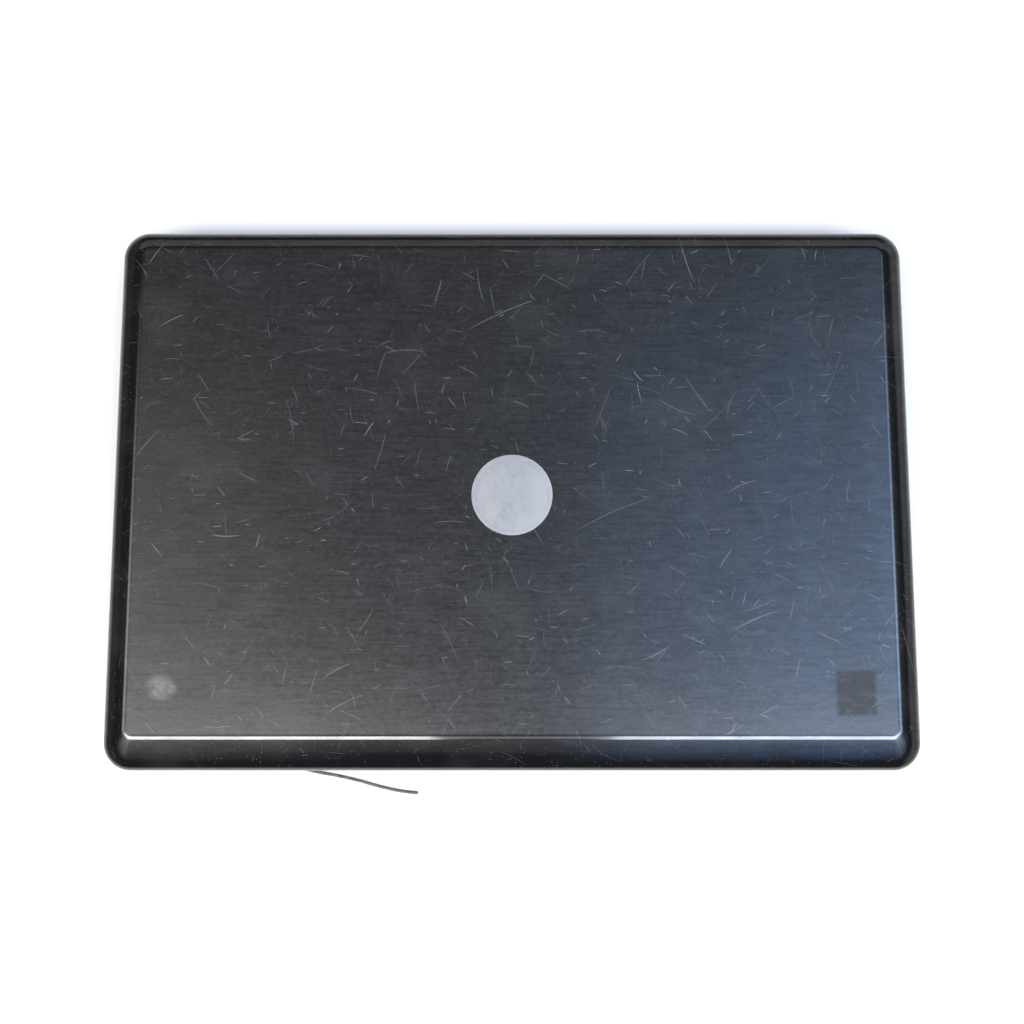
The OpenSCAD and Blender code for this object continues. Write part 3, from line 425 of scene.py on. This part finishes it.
def lid_gloss(name):
    """Glossy black lid under a haze of rubbing, with scratches, dust, smears and an old sticker's place."""
    black = (0.006, 0.0062, 0.0068)
    look = Material(name, black, 0.3, IOR=1.5, Coat_Weight=0.55, Coat_Roughness=0.07, Coat_IOR=1.5)
    # 1 on the flat panel, and 1 on the panel and the first few millimetres of its roll
    panel = look.patch((0, PANEL_MIDDLE), [reach - 0.6 for reach in PANEL_HALF], 1.2)
    crowned = look.patch((0, PANEL_MIDDLE), [reach + 3.0 for reach in PANEL_HALF], 3.0)
    # Rubbing, mostly along the lid's length
    rubbed = look.noise((50, 1100, 420), 3.0)
    mottle = look.noise((420, 560, 200), 5.0)
    streaks = look.noise((110, 480, 200), 4.0)
    smears = look.remap(look.noise((24, 32, 30), 4.0, 0.3), 0.52, 0.8)
    lines = lid_scratches(look, panel)
    dust = look.math("MAXIMUM", look.specks(950, 0.17, 0.16), look.specks(260, 0.06, 0.2, (4, 4, 0)))
    # The dull square that a sticker left, and a pale smudge at the other hinge corner
    sticker = look.patch((-158, 92.5), (8.0, 9.2), 2.0)
    sticker = look.math("MULTIPLY", sticker, look.remap(mottle, 0.3, 0.6, 0.5, 1.0))
    smudge = look.spot((161, 90), (8, 6.5))
    smudge = look.math("MULTIPLY", smudge, look.remap(look.noise(300, 3.0), 0.3, 0.6, 0.3, 1))
    haze = look.remap(look.math("ADD", rubbed, mottle), 0.72, 1.32)
    unstuck = look.math("SUBTRACT", panel, look.math("MULTIPLY", sticker, 0.8), clamp=True)
    haze = look.math("MULTIPLY", haze, unstuck)
    base = look.mix(look.math("MULTIPLY", haze, 0.02), black, (0.5, 0.5, 0.5))
    base = look.mix(look.math("MULTIPLY", smears, 0.03), base, (0.5, 0.49, 0.47))
    base = look.mix(sticker, base, (0.04, 0.036, 0.03))
    base = look.mix(look.math("MULTIPLY", smudge, 0.2), base, (0.6, 0.58, 0.55))
    base = look.mix(look.math("MULTIPLY", lines, 0.5), base, (0.62, 0.62, 0.62))
    base = look.mix(look.math("MULTIPLY", dust, 0.3), base, (0.6, 0.58, 0.55))
    # Painted reflection: the rim and the foot of the roll are painted paler and warmer, as a warm brown table
    # would show in them
    painted_rim_reflection = look.below(RIM_HEIGHT + 2.2 * MM, RIM_HEIGHT + 3.4 * MM)
    base = look.mix(look.math("MULTIPLY", painted_rim_reflection, 0.6), base, (0.16, 0.135, 0.11))
    look.put("Base Color", base)
    rough = look.math("ADD", look.remap(panel, 0.0, 1.0, 0.09, 0.245), look.math("MULTIPLY", haze, 0.08))
    look.put("Roughness", look.math("ADD", rough, look.math("MULTIPLY", lines, 0.2), clamp=True))
    clean = look.remap(sticker, 0.0, 1.0, 1.0, 0.3)
    shine = look.math("MULTIPLY", clean, look.remap(crowned, 0.0, 1.0, 0.6, 1.0))
    look.put("Coat Weight", look.math("MULTIPLY", look.remap(streaks, 0.3, 0.7, 0.3, 0.8), shine))
    look.put("Specular IOR Level", look.math("MULTIPLY", shine, 0.5))
    look.bump(look.math("MULTIPLY", lines, -1.0), 0.01 * MM, 0.5)
    return look.data


def glass_panel(name):
    """Dark display panel behind an anti-glare film."""
    look = Material(name, (0.012, 0.013, 0.016), 0.22, IOR=1.5)
    clouds = look.remap(look.noise(12, 3.0), 0.3, 0.7)
    look.put("Base Color", look.mix(clouds, (0.009, 0.01, 0.013), (0.018, 0.019, 0.023)))
    look.put("Roughness", look.remap(look.noise(60, 4.0), 0.3, 0.7, 0.18, 0.3))
    look.bump(look.noise(4000, 1.0), 0.01 * MM, 0.4)
    return look.data


def light_dot(name, color, strength):
    """Clear window or print that may glow a little."""
    look = Material(name, color, 0.3)
    look.put("Emission Color", (*color, 1))
    look.put("Emission Strength", strength)
    look.put("Roughness", look.remap(look.noise(900, 2.0), 0.3, 0.7, 0.25, 0.4))
    return look.data


# One look for each of the record's material slots
LOOKS = {
    "gloss_black": lid_gloss("gloss_black_lid"),
    "silver_trim": metal("silver_trim", (0.41, 0.405, 0.4), 0.5, (500, 700, 700)),
    "black_plastic": plastic("black_plastic", (0.022, 0.022, 0.024), 0.42, 0.3, 0.02, 0.35),
    "dark_plastic": plastic("dark_plastic", (0.036, 0.036, 0.04), 0.55, 0.55, 0.06, 0.4),
    "key_plastic": plastic("key_plastic", (0.02, 0.02, 0.022), 0.4, 0.25, 0.02, 0.3),
    "silver_button": metal("silver_button", (0.3, 0.3, 0.31), 0.36),
    "rubber": rubber("rubber", (0.02, 0.02, 0.02)),
    "sheet_metal": metal("sheet_metal", (0.6, 0.61, 0.62), 0.34),
    "pin_steel": metal("pin_steel", (0.75, 0.75, 0.76), 0.18, (1400, 60, 60)),
    "screw_steel": metal("screw_steel", (0.09, 0.09, 0.095), 0.35, (900, 900, 900)),
    "panel_glass": glass_panel("panel_glass"),
    "diffuser": plastic("diffuser", (0.8, 0.8, 0.78), 0.5, 0.4, 0.01, 0.0),
    "circuit_board": board("circuit_board", (0.012, 0.11, 0.05)),
    "antenna_brass": metal("antenna_brass", (0.72, 0.52, 0.24), 0.3),
    "heat_copper": metal("heat_copper", (0.72, 0.36, 0.2), 0.3),
    "vga_blue": plastic("vga_blue", (0.02, 0.06, 0.3), 0.4, 0.4, 0.02, 0.3),
    "drive_alloy": metal("drive_alloy", (0.62, 0.63, 0.64), 0.42, (500, 500, 500)),
    "cell_wrap": plastic("cell_wrap", (0.03, 0.12, 0.3), 0.3, 0.8, 0.01, 0.2),
    "black_cable": cable_sleeve("black_cable", (0.02, 0.02, 0.022)),
    "brown_cable": cable_sleeve("brown_cable", (0.14, 0.098, 0.078)),
}

lead.data.materials.append(LOOKS["brown_cable"])

# ---------------------------------------------------------------- lid

# Corner radii in mm of the lid's outline and of its flat panel
LID_CORNER = 13.0
PANEL_CORNER = 3.5
# The roll starts with a crease: its turn, and the share of the roll that it takes
CREASE_ANGLE = math.radians(13)
CREASE_SHARE = 0.16
ROLL_STEPS = 44


def roll_curve(power, steps=400):
    """Points (outwards, down) of a roll that starts with a crease and then turns down to vertical."""
    out = down = 0.0
    points = [(out, down)]
    for i in range(steps):
        share = (i + 0.5) / steps
        t = min(share / CREASE_SHARE, 1)
        slope = CREASE_ANGLE * t * t * (3 - 2 * t) + (math.pi / 2 - CREASE_ANGLE) * share ** power
        out += math.cos(slope)
        down += math.sin(slope)
        points.append((out, down))
    return points


def roll_profile(width, height):
    """The roll curve of this width and height: a steeper power makes it flatter."""
    low, high = 0.2, 12.0
    for _ in range(40):
        power = (low + high) / 2
        out, down = roll_curve(power)[-1]
        if down / out > height / width:
            low = power
        else:
            high = power
    points = roll_curve(power)
    out, down = points[-1]
    return [(x * width / out, z * height / down) for x, z in points]


def reach_at(profile, down):
    """How far outwards a profile has come when it is this far down."""
    for (x0, z0), (x1, z1) in zip(profile, profile[1:]):
        if z1 >= down:
            return x0 + (x1 - x0) * (down - z0) / (z1 - z0)
    return profile[-1][0]


def skin_faces(rings, start=0):
    """Faces through rings of equally many points, from the first to the last, closed at both ends."""
    count = len(rings[0])
    top = start + (len(rings) - 1) * count
    faces = []
    for low in range(start, top, count):
        for i in range(count):
            j = (i + 1) % count
            faces.append((low + i, low + j, low + count + j, low + count + i))
    faces.append([top + i for i in range(count)])
    faces.append([start + i for i in reversed(range(count))])
    return faces


def flatten(lists):
    """One list of all the items."""
    return [item for one in lists for item in one]


def make_lid():
    """Glossy lid cover: an even rim that rolls over to a flat panel, widest along the hinge edge."""
    low, high = lid_low / MM, lid_high / MM
    half, front, rear = high.x, low.y, high.y
    height = high.z - low.z - RIM_WALL
    widths = (ROLL_SIDE, ROLL_FRONT, ROLL_REAR)
    profiles = [roll_profile(width, height) for width in widths]
    rings = []

    def ring(side_in, front_in, rear_in, z, radius):
        outline = rounded_outline(half - side_in, front + front_in, rear - rear_in, radius, 14)
        rings.append([(x, y, z) for x, y in outline])

    # The hollow inside: its roof, the foot of the slope under the roll, and its mouth
    wall = 1.8
    foot, foot_height = 3.0, 4.2
    ring(*widths, high.z - wall - 0.2, PANEL_CORNER)
    ring(foot, foot, foot, low.z + foot_height, LID_CORNER - foot)
    ring(wall, wall, wall, low.z, LID_CORNER - wall)
    # The rim's lower edge, a little cut back
    cut = 0.25
    ring(cut, cut, cut, low.z, LID_CORNER - cut)
    ring(0, 0, 0, low.z + cut, LID_CORNER)
    # The roll from the rim up to the panel, with its rings closest together at the crease
    rear_profile = profiles[2]
    for step in range(ROLL_STEPS + 1):
        share = 1 - (step / ROLL_STEPS) ** 0.75
        down = rear_profile[round(share * (len(rear_profile) - 1))][1]
        insets = [width - reach_at(profile, down) for width, profile in zip(widths, profiles)]
        radius = LID_CORNER - (LID_CORNER - PANEL_CORNER) * insets[0] / ROLL_SIDE
        ring(*insets, high.z - down, radius)
    for extra in (0.3, 1.5, 3.5):
        ring(*(width + extra for width in widths), high.z, PANEL_CORNER)
    mesh = mesh_from("lid_shell", flatten(rings), skin_faces(rings))
    add_object("lid_shell", mesh, "lid", LOOKS["gloss_black"], ("lid_cover",))


make_lid()

# ---------------------------------------------------------------- keyboard

# Half the gap between two keycaps, in mm
KEY_GAP = 0.5
number_low, number_high = (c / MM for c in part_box("keys_number_row"))
function_low, function_high = (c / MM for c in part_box("keys_function_row"))
space_low, space_high = (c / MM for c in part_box("space_bar"))
KEYS_LEFT = number_low.x - KEY_GAP
KEYS_FRONT = space_low.y - KEY_GAP
# Key units along the number row, and how many rows it lies behind the space bar
ROW_UNITS, NUMBER_ROW = 15, 4
KEY_X = (number_high.x - number_low.x + 2 * KEY_GAP) / ROW_UNITS
KEY_Y = (number_low.y - space_low.y) / NUMBER_ROW
FUNCTION_ROW = (function_high.y - function_low.y + 2 * KEY_GAP) / KEY_Y
# A keycap from its foot to the flat of its dished top, in mm: inset from the foot, height
KEY_PROFILE = [
    (0, space_low.z), (0.05, space_low.z + 0.8), (1.35, space_high.z - 0.5), (1.65, space_high.z - 0.12),
    (1.95, space_high.z), (2.35, space_high.z - 0.03), (2.8, space_high.z - 0.14), (3.3, space_high.z - 0.24),
]
KEY_FLAT = KEY_PROFILE[-1][1]
# Where the number pad's keys start, in key units
PAD_COLUMN = 15.25
# Sizes of one-letter legends and of words, and where both start from the key unit's rear left, in mm
LETTER_SIZE, WORD_SIZE = 4.6, 3.0
LEGEND_LEFT, LEGEND_REAR = 3.9, 3.6
# How far the print stands above the keycap, in mm
PRINT_HEIGHT = 0.02


def key_row(column, row, widths, legends, depth=1.0):
    """Keys side by side: each is (column, row, width, depth, legend), in key units."""
    keys = []
    for width, legend in zip(widths, legends):
        keys.append((column, row, width, depth, legend))
        column += width
    return keys


FUNCTION_LEGENDS = ["esc", *(f"f{n}" for n in range(1, 13)), "ins", "del"]
# The keys of each node
KEYS = {
    "keys_function_row": key_row(0, 5, [1] * 15, FUNCTION_LEGENDS, FUNCTION_ROW)
    + key_row(PAD_COLUMN, 5, [1] * 4, ["home", "end", "pg up", "pg dn"], FUNCTION_ROW),
    "keys_number_row": key_row(0, 4, [1] * 13 + [2], [*"`1234567890-=", "backspace"]),
    "keys_upper_row": key_row(0, 3, [1.5] + [1] * 12 + [1.5], ["tab", *"QWERTYUIOP[]", "\\"]),
    "keys_home_row": key_row(0, 2, [1.75] + [1] * 11 + [2.25], ["caps", *"ASDFGHJKL;'", "enter"]),
    "keys_lower_row": key_row(0, 1, [2.25] + [1] * 10 + [2.75], ["shift", *"ZXCVBNM,./", "shift"]),
    "keys_bottom_row": key_row(0, 0, [1.25, 1, 1, 1.25], ["ctrl", "fn", "menu", "alt"])
    + key_row(10, 0, [1, 1], ["alt", "ctrl"]),
    "space_bar": [(4.5, 0, 5.5, 1, "")],
    "arrow_keys": [(12, 0, 1, 0.5, "<"), (13, 0, 1, 0.5, "v"), (13, 0.5, 1, 0.5, "^"), (14, 0, 1, 0.5, ">")],
    "number_pad_keys": key_row(PAD_COLUMN, 4, [1] * 4, ["num", "/", "*", "-"])
    + key_row(PAD_COLUMN, 3, [1] * 3, "789")
    + key_row(PAD_COLUMN, 2, [1] * 3, "456")
    + key_row(PAD_COLUMN, 1, [1] * 3, "123")
    + key_row(PAD_COLUMN, 0, [2, 1], "0.")
    + [(PAD_COLUMN + 3, 0, 1, 2, "enter"), (PAD_COLUMN + 3, 2, 1, 2, "+")],
}


def legend_shapes():
    """Flat shape of each legend, as (points in mm, faces), from its top left corner."""
    words = sorted({key[4] for keys in KEYS.values() for key in keys if key[4]})
    holders = {}
    for word in words:
        letters = bpy.data.curves.new("legend", "FONT")
        letters.body = word
        letters.size = (LETTER_SIZE if len(word) == 1 else WORD_SIZE) * MM
        letters.align_y = "TOP"
        letters.resolution_u = 3
        holders[word] = bpy.data.objects.new("legend", letters)
        bpy.context.scene.collection.objects.link(holders[word])
    depsgraph = bpy.context.evaluated_depsgraph_get()
    shapes = {}
    for word, holder in holders.items():
        mesh = bpy.data.meshes.new_from_object(holder.evaluated_get(depsgraph))
        points = [tuple(c / MM for c in v.co) for v in mesh.vertices]
        shapes[word] = (points, [tuple(f.vertices) for f in mesh.polygons])
        bpy.data.meshes.remove(mesh)
        bpy.data.curves.remove(holder.data)
    return shapes


def make_keys(node, keys, shapes):
    """The keycaps of one group, with their legends printed on them."""
    points, faces = [], []
    for column, row, width, depth, legend in keys:
        left = KEYS_LEFT + column * KEY_X + KEY_GAP
        front = KEYS_FRONT + row * KEY_Y + KEY_GAP
        width = width * KEY_X - 2 * KEY_GAP
        rear = front + depth * KEY_Y - 2 * KEY_GAP
        rings = []
        for inset, z in KEY_PROFILE:
            radius = max(0.4, 1.5 - 0.35 * inset)
            outline = rounded_outline(width / 2 - inset, front + inset, rear - inset, radius, 4)
            rings.append([(left + width / 2 + x, y, z) for x, y in outline])
        faces += skin_faces(rings, len(points))
        points += flatten(rings)
    printed = len(faces)
    for column, row, _, depth, legend in keys:
        if legend:
            shape, shape_faces = shapes[legend]
            left = KEYS_LEFT + column * KEY_X + LEGEND_LEFT
            rear = KEYS_FRONT + (row + depth) * KEY_Y - LEGEND_REAR
            start = len(points)
            points += [(left + x, rear + y, KEY_FLAT + PRINT_HEIGHT) for x, y, _ in shape]
            faces += [tuple(start + i for i in face) for face in shape_faces]
    mesh = mesh_from(node + "_caps", points, faces)
    caps = add_object(node + "_caps", mesh, body_of_node[node], LOOKS["key_plastic"], (node,))
    mesh.materials.append(KEY_PRINT)
    for face in mesh.polygons[printed:]:
        face.material_index = 1
        face.use_smooth = False
    caps.modifiers.new("normals", "WEIGHTED_NORMAL").keep_sharp = True


KEY_PRINT = plastic("key_print", (0.62, 0.62, 0.6), 0.5, 0.2, 0.004, 0.0)
legends = legend_shapes()
for key_node, keys in KEYS.items():
    make_keys(key_node, keys, legends)

# ---------------------------------------------------------------- small fittings


BOX_FACES = [(0, 2, 3, 1), (4, 5, 7, 6), (0, 1, 5, 4), (2, 6, 7, 3), (0, 4, 6, 2), (1, 3, 7, 5)]


def make_status_lights():
    """Three light windows in the slots of the front wall."""
    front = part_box("top_cover")[0].y / MM
    points, faces = [], []
    for middle in (-150, -142, -134):
        faces += [tuple(len(points) + i for i in face) for face in BOX_FACES]
        sides, depths, heights = (middle - 1.9, middle + 1.9), (front + 0.15, front + 0.6), (21.5, 22.7)
        points += [(x, y, z) for z in heights for y in depths for x in sides]
    mesh = mesh_from("status_lights", points, faces, smooth=False)
    glow = light_dot("status_light", (0.5, 0.72, 1.0), 0.12)
    add_object("status_lights", mesh, "base", glow)


def make_power_symbol():
    """Open ring and bar on the power button."""
    low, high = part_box("power_button")
    middle = (low + high) / 2 / MM
    z = high.z / MM - 0.28
    points, faces = [], []
    arc = [math.radians(a) for a in range(125, 416, 10)]
    for angle in arc:
        for r in (1.75, 2.15):
            points.append((middle.x + r * math.cos(angle), middle.y + r * math.sin(angle), z))
    faces += [(2 * i, 2 * i + 1, 2 * i + 3, 2 * i + 2) for i in range(len(arc) - 1)]
    start = len(points)
    points += [(middle.x + x, middle.y + y, z) for y in (0.4, 2.6) for x in (-0.2, 0.2)]
    faces.append((start, start + 1, start + 3, start + 2))
    mesh = mesh_from("power_symbol", points, faces, smooth=False)
    print_look = light_dot("power_print", (0.05, 0.07, 0.1), 0.0)
    add_object("power_symbol", mesh, "power", print_look)


make_status_lights()
make_power_symbol()

# ---------------------------------------------------------------- carried-over pieces

# Rounding of the CAD nodes' sharp edges, in mm
EDGE = 0.15
# Pieces whose surface differs from the rest of their slot
OWN_LOOKS = {
    "touchpad": plastic("touchpad_film", (0.028, 0.028, 0.031), 0.5, 0.9, 0.03, 0.2),
    "eject_button": plastic("eject_button", (0.05, 0.05, 0.055), 0.35, 0.3, 0.02, 0.4),
    "battery_latch": plastic("battery_latch", (0.07, 0.07, 0.075), 0.4, 0.3, 0.03, 0.5),
}


def finish_node(name):
    """Gives a CAD node its material, merges its doubled corners and rounds its sharp edges a little."""
    node = frame["nodes"][name]
    node.data.materials.clear()
    node.data.materials.append(OWN_LOOKS.get(name) or LOOKS[slot_of[name]])
    weld = node.modifiers.new("weld", "WELD")
    weld.merge_threshold = 0.002 * MM
    bevel = node.modifiers.new("bevel", "BEVEL")
    bevel.width = EDGE * MM
    bevel.segments = 2
    bevel.limit_method = "ANGLE"
    bevel.angle_limit = math.radians(35)
    bevel.harden_normals = True


for node_name in frame["nodes"]:
    if node_name not in ("lid_cover", "antenna_lead", *KEYS):
        finish_node(node_name)

# ---------------------------------------------------------------- studio


def make_floor():
    """Wide pale floor under the feet, a little uneven in tone."""
    reach = 12.0
    mesh = bpy.data.meshes.new("floor")
    corners = [(-reach, -reach, 0), (reach, -reach, 0), (reach, reach, 0), (-reach, reach, 0)]
    mesh.from_pydata(corners, [], [(0, 1, 2, 3)])
    floor = bpy.data.objects.new("floor", mesh)
    bpy.context.scene.collection.objects.link(floor)
    look = Material("floor", (0.95, 0.92, 0.86), 0.9)
    look.put("Base Color", look.mix(look.noise(3, 2.0), (0.93, 0.9, 0.84), (0.96, 0.93, 0.87)))
    mesh.materials.append(look.data)


def area_light(name, place, size, power, color):
    """Rectangular lamp that faces straight down."""
    data = bpy.data.lights.new(name, "AREA")
    data.shape = "RECTANGLE"
    data.size, data.size_y = size
    data.energy = power
    data.color = color
    lamp = bpy.data.objects.new(name, data)
    bpy.context.scene.collection.objects.link(lamp)
    lamp.location = place


class World:
    """The room's light by direction: x, y and z are the direction's own coordinates."""

    def __init__(self):
        world = bpy.data.worlds.new("studio")
        bpy.context.scene.world = world
        world.use_nodes = True
        self.tree = world.node_tree
        self.direction = self.tree.nodes.new("ShaderNodeTexCoord").outputs["Generated"]
        split = self.tree.nodes.new("ShaderNodeSeparateXYZ")
        self.tree.links.new(self.direction, split.inputs[0])
        self.x, self.y, self.z = split.outputs

    def vector(self, operation, a, b):
        """Vector math on two sockets or values."""
        node = self.tree.nodes.new("ShaderNodeVectorMath")
        node.operation = operation
        second = node.inputs["Scale"] if operation == "SCALE" else node.inputs[1]
        for socket, value in zip((node.inputs[0], second), (a, b)):
            if isinstance(value, bpy.types.NodeSocket):
                self.tree.links.new(value, socket)
            else:
                socket.default_value = value
        return node.outputs[0]

    def step(self, value, low, high, to_low=0.0, to_high=1.0):
        """Smooth step of a value from one level to another."""
        node = self.tree.nodes.new("ShaderNodeMapRange")
        node.interpolation_type = "SMOOTHSTEP"
        self.tree.links.new(value, node.inputs["Value"])
        for key, number in (("From Min", low), ("From Max", high), ("To Min", to_low), ("To Max", to_high)):
            node.inputs[key].default_value = number
        return node.outputs[0]

    def product(self, values):
        """All the values multiplied together."""
        total = values[0]
        for value in values[1:]:
            node = self.tree.nodes.new("ShaderNodeMath")
            node.operation = "MULTIPLY"
            self.tree.links.new(total, node.inputs[0])
            self.tree.links.new(value, node.inputs[1])
            total = node.outputs[0]
        return total


def make_world():
    """Dim room with a pale ceiling, a warm glow on the object's right and a cool one on its left."""
    room = World()
    pale = (1.0, 1.01, 1.03)
    ceiling = room.vector("SCALE", pale, room.step(room.z, 0.75, 0.97, 0.05, 0.28))
    horizon = room.vector("SCALE", pale, room.step(room.z, 0.06, 0.2, 0.7, 0.0))
    high = room.step(room.z, 0.62, 0.86)
    low_wall = room.product([room.step(room.z, 0.58, 0.5), room.step(room.z, 0.0, 0.45, 0.4, 1.0)])
    right_end = room.step(room.x, 0.56, 0.68, 1.0, 0.06)
    left_end = room.step(room.x, -0.56, -0.68, 1.0, 0.35)
    warm = room.product([room.step(room.y, -0.36, 0.10), high, right_end])
    cool = room.product([room.step(room.y, -0.5, 0.04), high, left_end])
    # The cool side is uneven, like a curtain
    folds = room.tree.nodes.new("ShaderNodeTexNoise")
    room.tree.links.new(room.vector("MULTIPLY", room.direction, (26.0, 1.5, 0.0)), folds.inputs["Vector"])
    folds.inputs["Scale"].default_value = 1.0
    cool = room.product([cool, room.step(folds.outputs["Fac"], 0.35, 0.65, 0.6, 1.35)])
    light = room.vector("ADD", ceiling, horizon)
    # Colour of each glow, where it is, and the x at which it starts and the x at which it is full
    for color, glow, start, full in (
        ((0.88, 0.82, 0.76), warm, 0.10, 0.36),
        ((0.7, 0.68, 0.64), warm, 0.34, 0.40),
        ((2.5, 2.4, 2.3), warm, 0.41, 0.46),
        ((0.2, 0.19, 0.17), low_wall, 0.5, 0.75),
        ((0.8, 0.8, 0.8), low_wall, -0.5, -0.75),
        ((0.42, 0.72, 1.3), cool, -0.03, -0.12),
        ((0.35, 0.68, 1.4), cool, -0.14, -0.32),
        ((0.6, 0.8, 1.1), cool, -0.34, -0.40),
        ((2.4, 3.0, 3.6), cool, -0.42, -0.46),
    ):
        amount = room.product([glow, room.step(room.x, start, full)])
        light = room.vector("ADD", light, room.vector("SCALE", color, amount))
    room.tree.links.new(light, room.tree.nodes["Background"].inputs["Color"])


LIGHT_HEIGHT = 1.2
# Name, X and Y reach in metres, radiance and colour of each lamp. Left and right are the picture's
SOFT_BOXES = [
    ("window_left", (0.13, 0.85), (0.345, 0.7), 15.0, (1.0, 0.97, 0.93)),
    ("window_right", (-0.85, -0.17), (0.335, 0.7), 12.6, (0.93, 0.97, 1.02)),
    ("window_middle", (-0.17, 0.13), (0.345, 0.62), 2.0, (0.95, 0.97, 1.0)),
    ("back_wall", (-0.9, 0.9), (0.74, 0.92), 0.5, (0.97, 0.98, 1.0)),
    ("front_wall", (-1.6, 1.6), (-2.6, -1.2), 0.6, (1.0, 0.97, 0.93)),
]


def make_lights():
    """Hangs the lamps. A lamp's power is its radiance times its area times pi."""
    for name, (x0, x1), (y0, y1), radiance, color in SOFT_BOXES:
        size = (x1 - x0, y1 - y0)
        middle = ((x0 + x1) / 2, (y0 + y1) / 2, LIGHT_HEIGHT)
        area_light(name, middle, size, radiance * math.pi * size[0] * size[1], color)


make_floor()
make_world()
make_lights()
bpy.context.scene.view_settings.view_transform = "Standard"
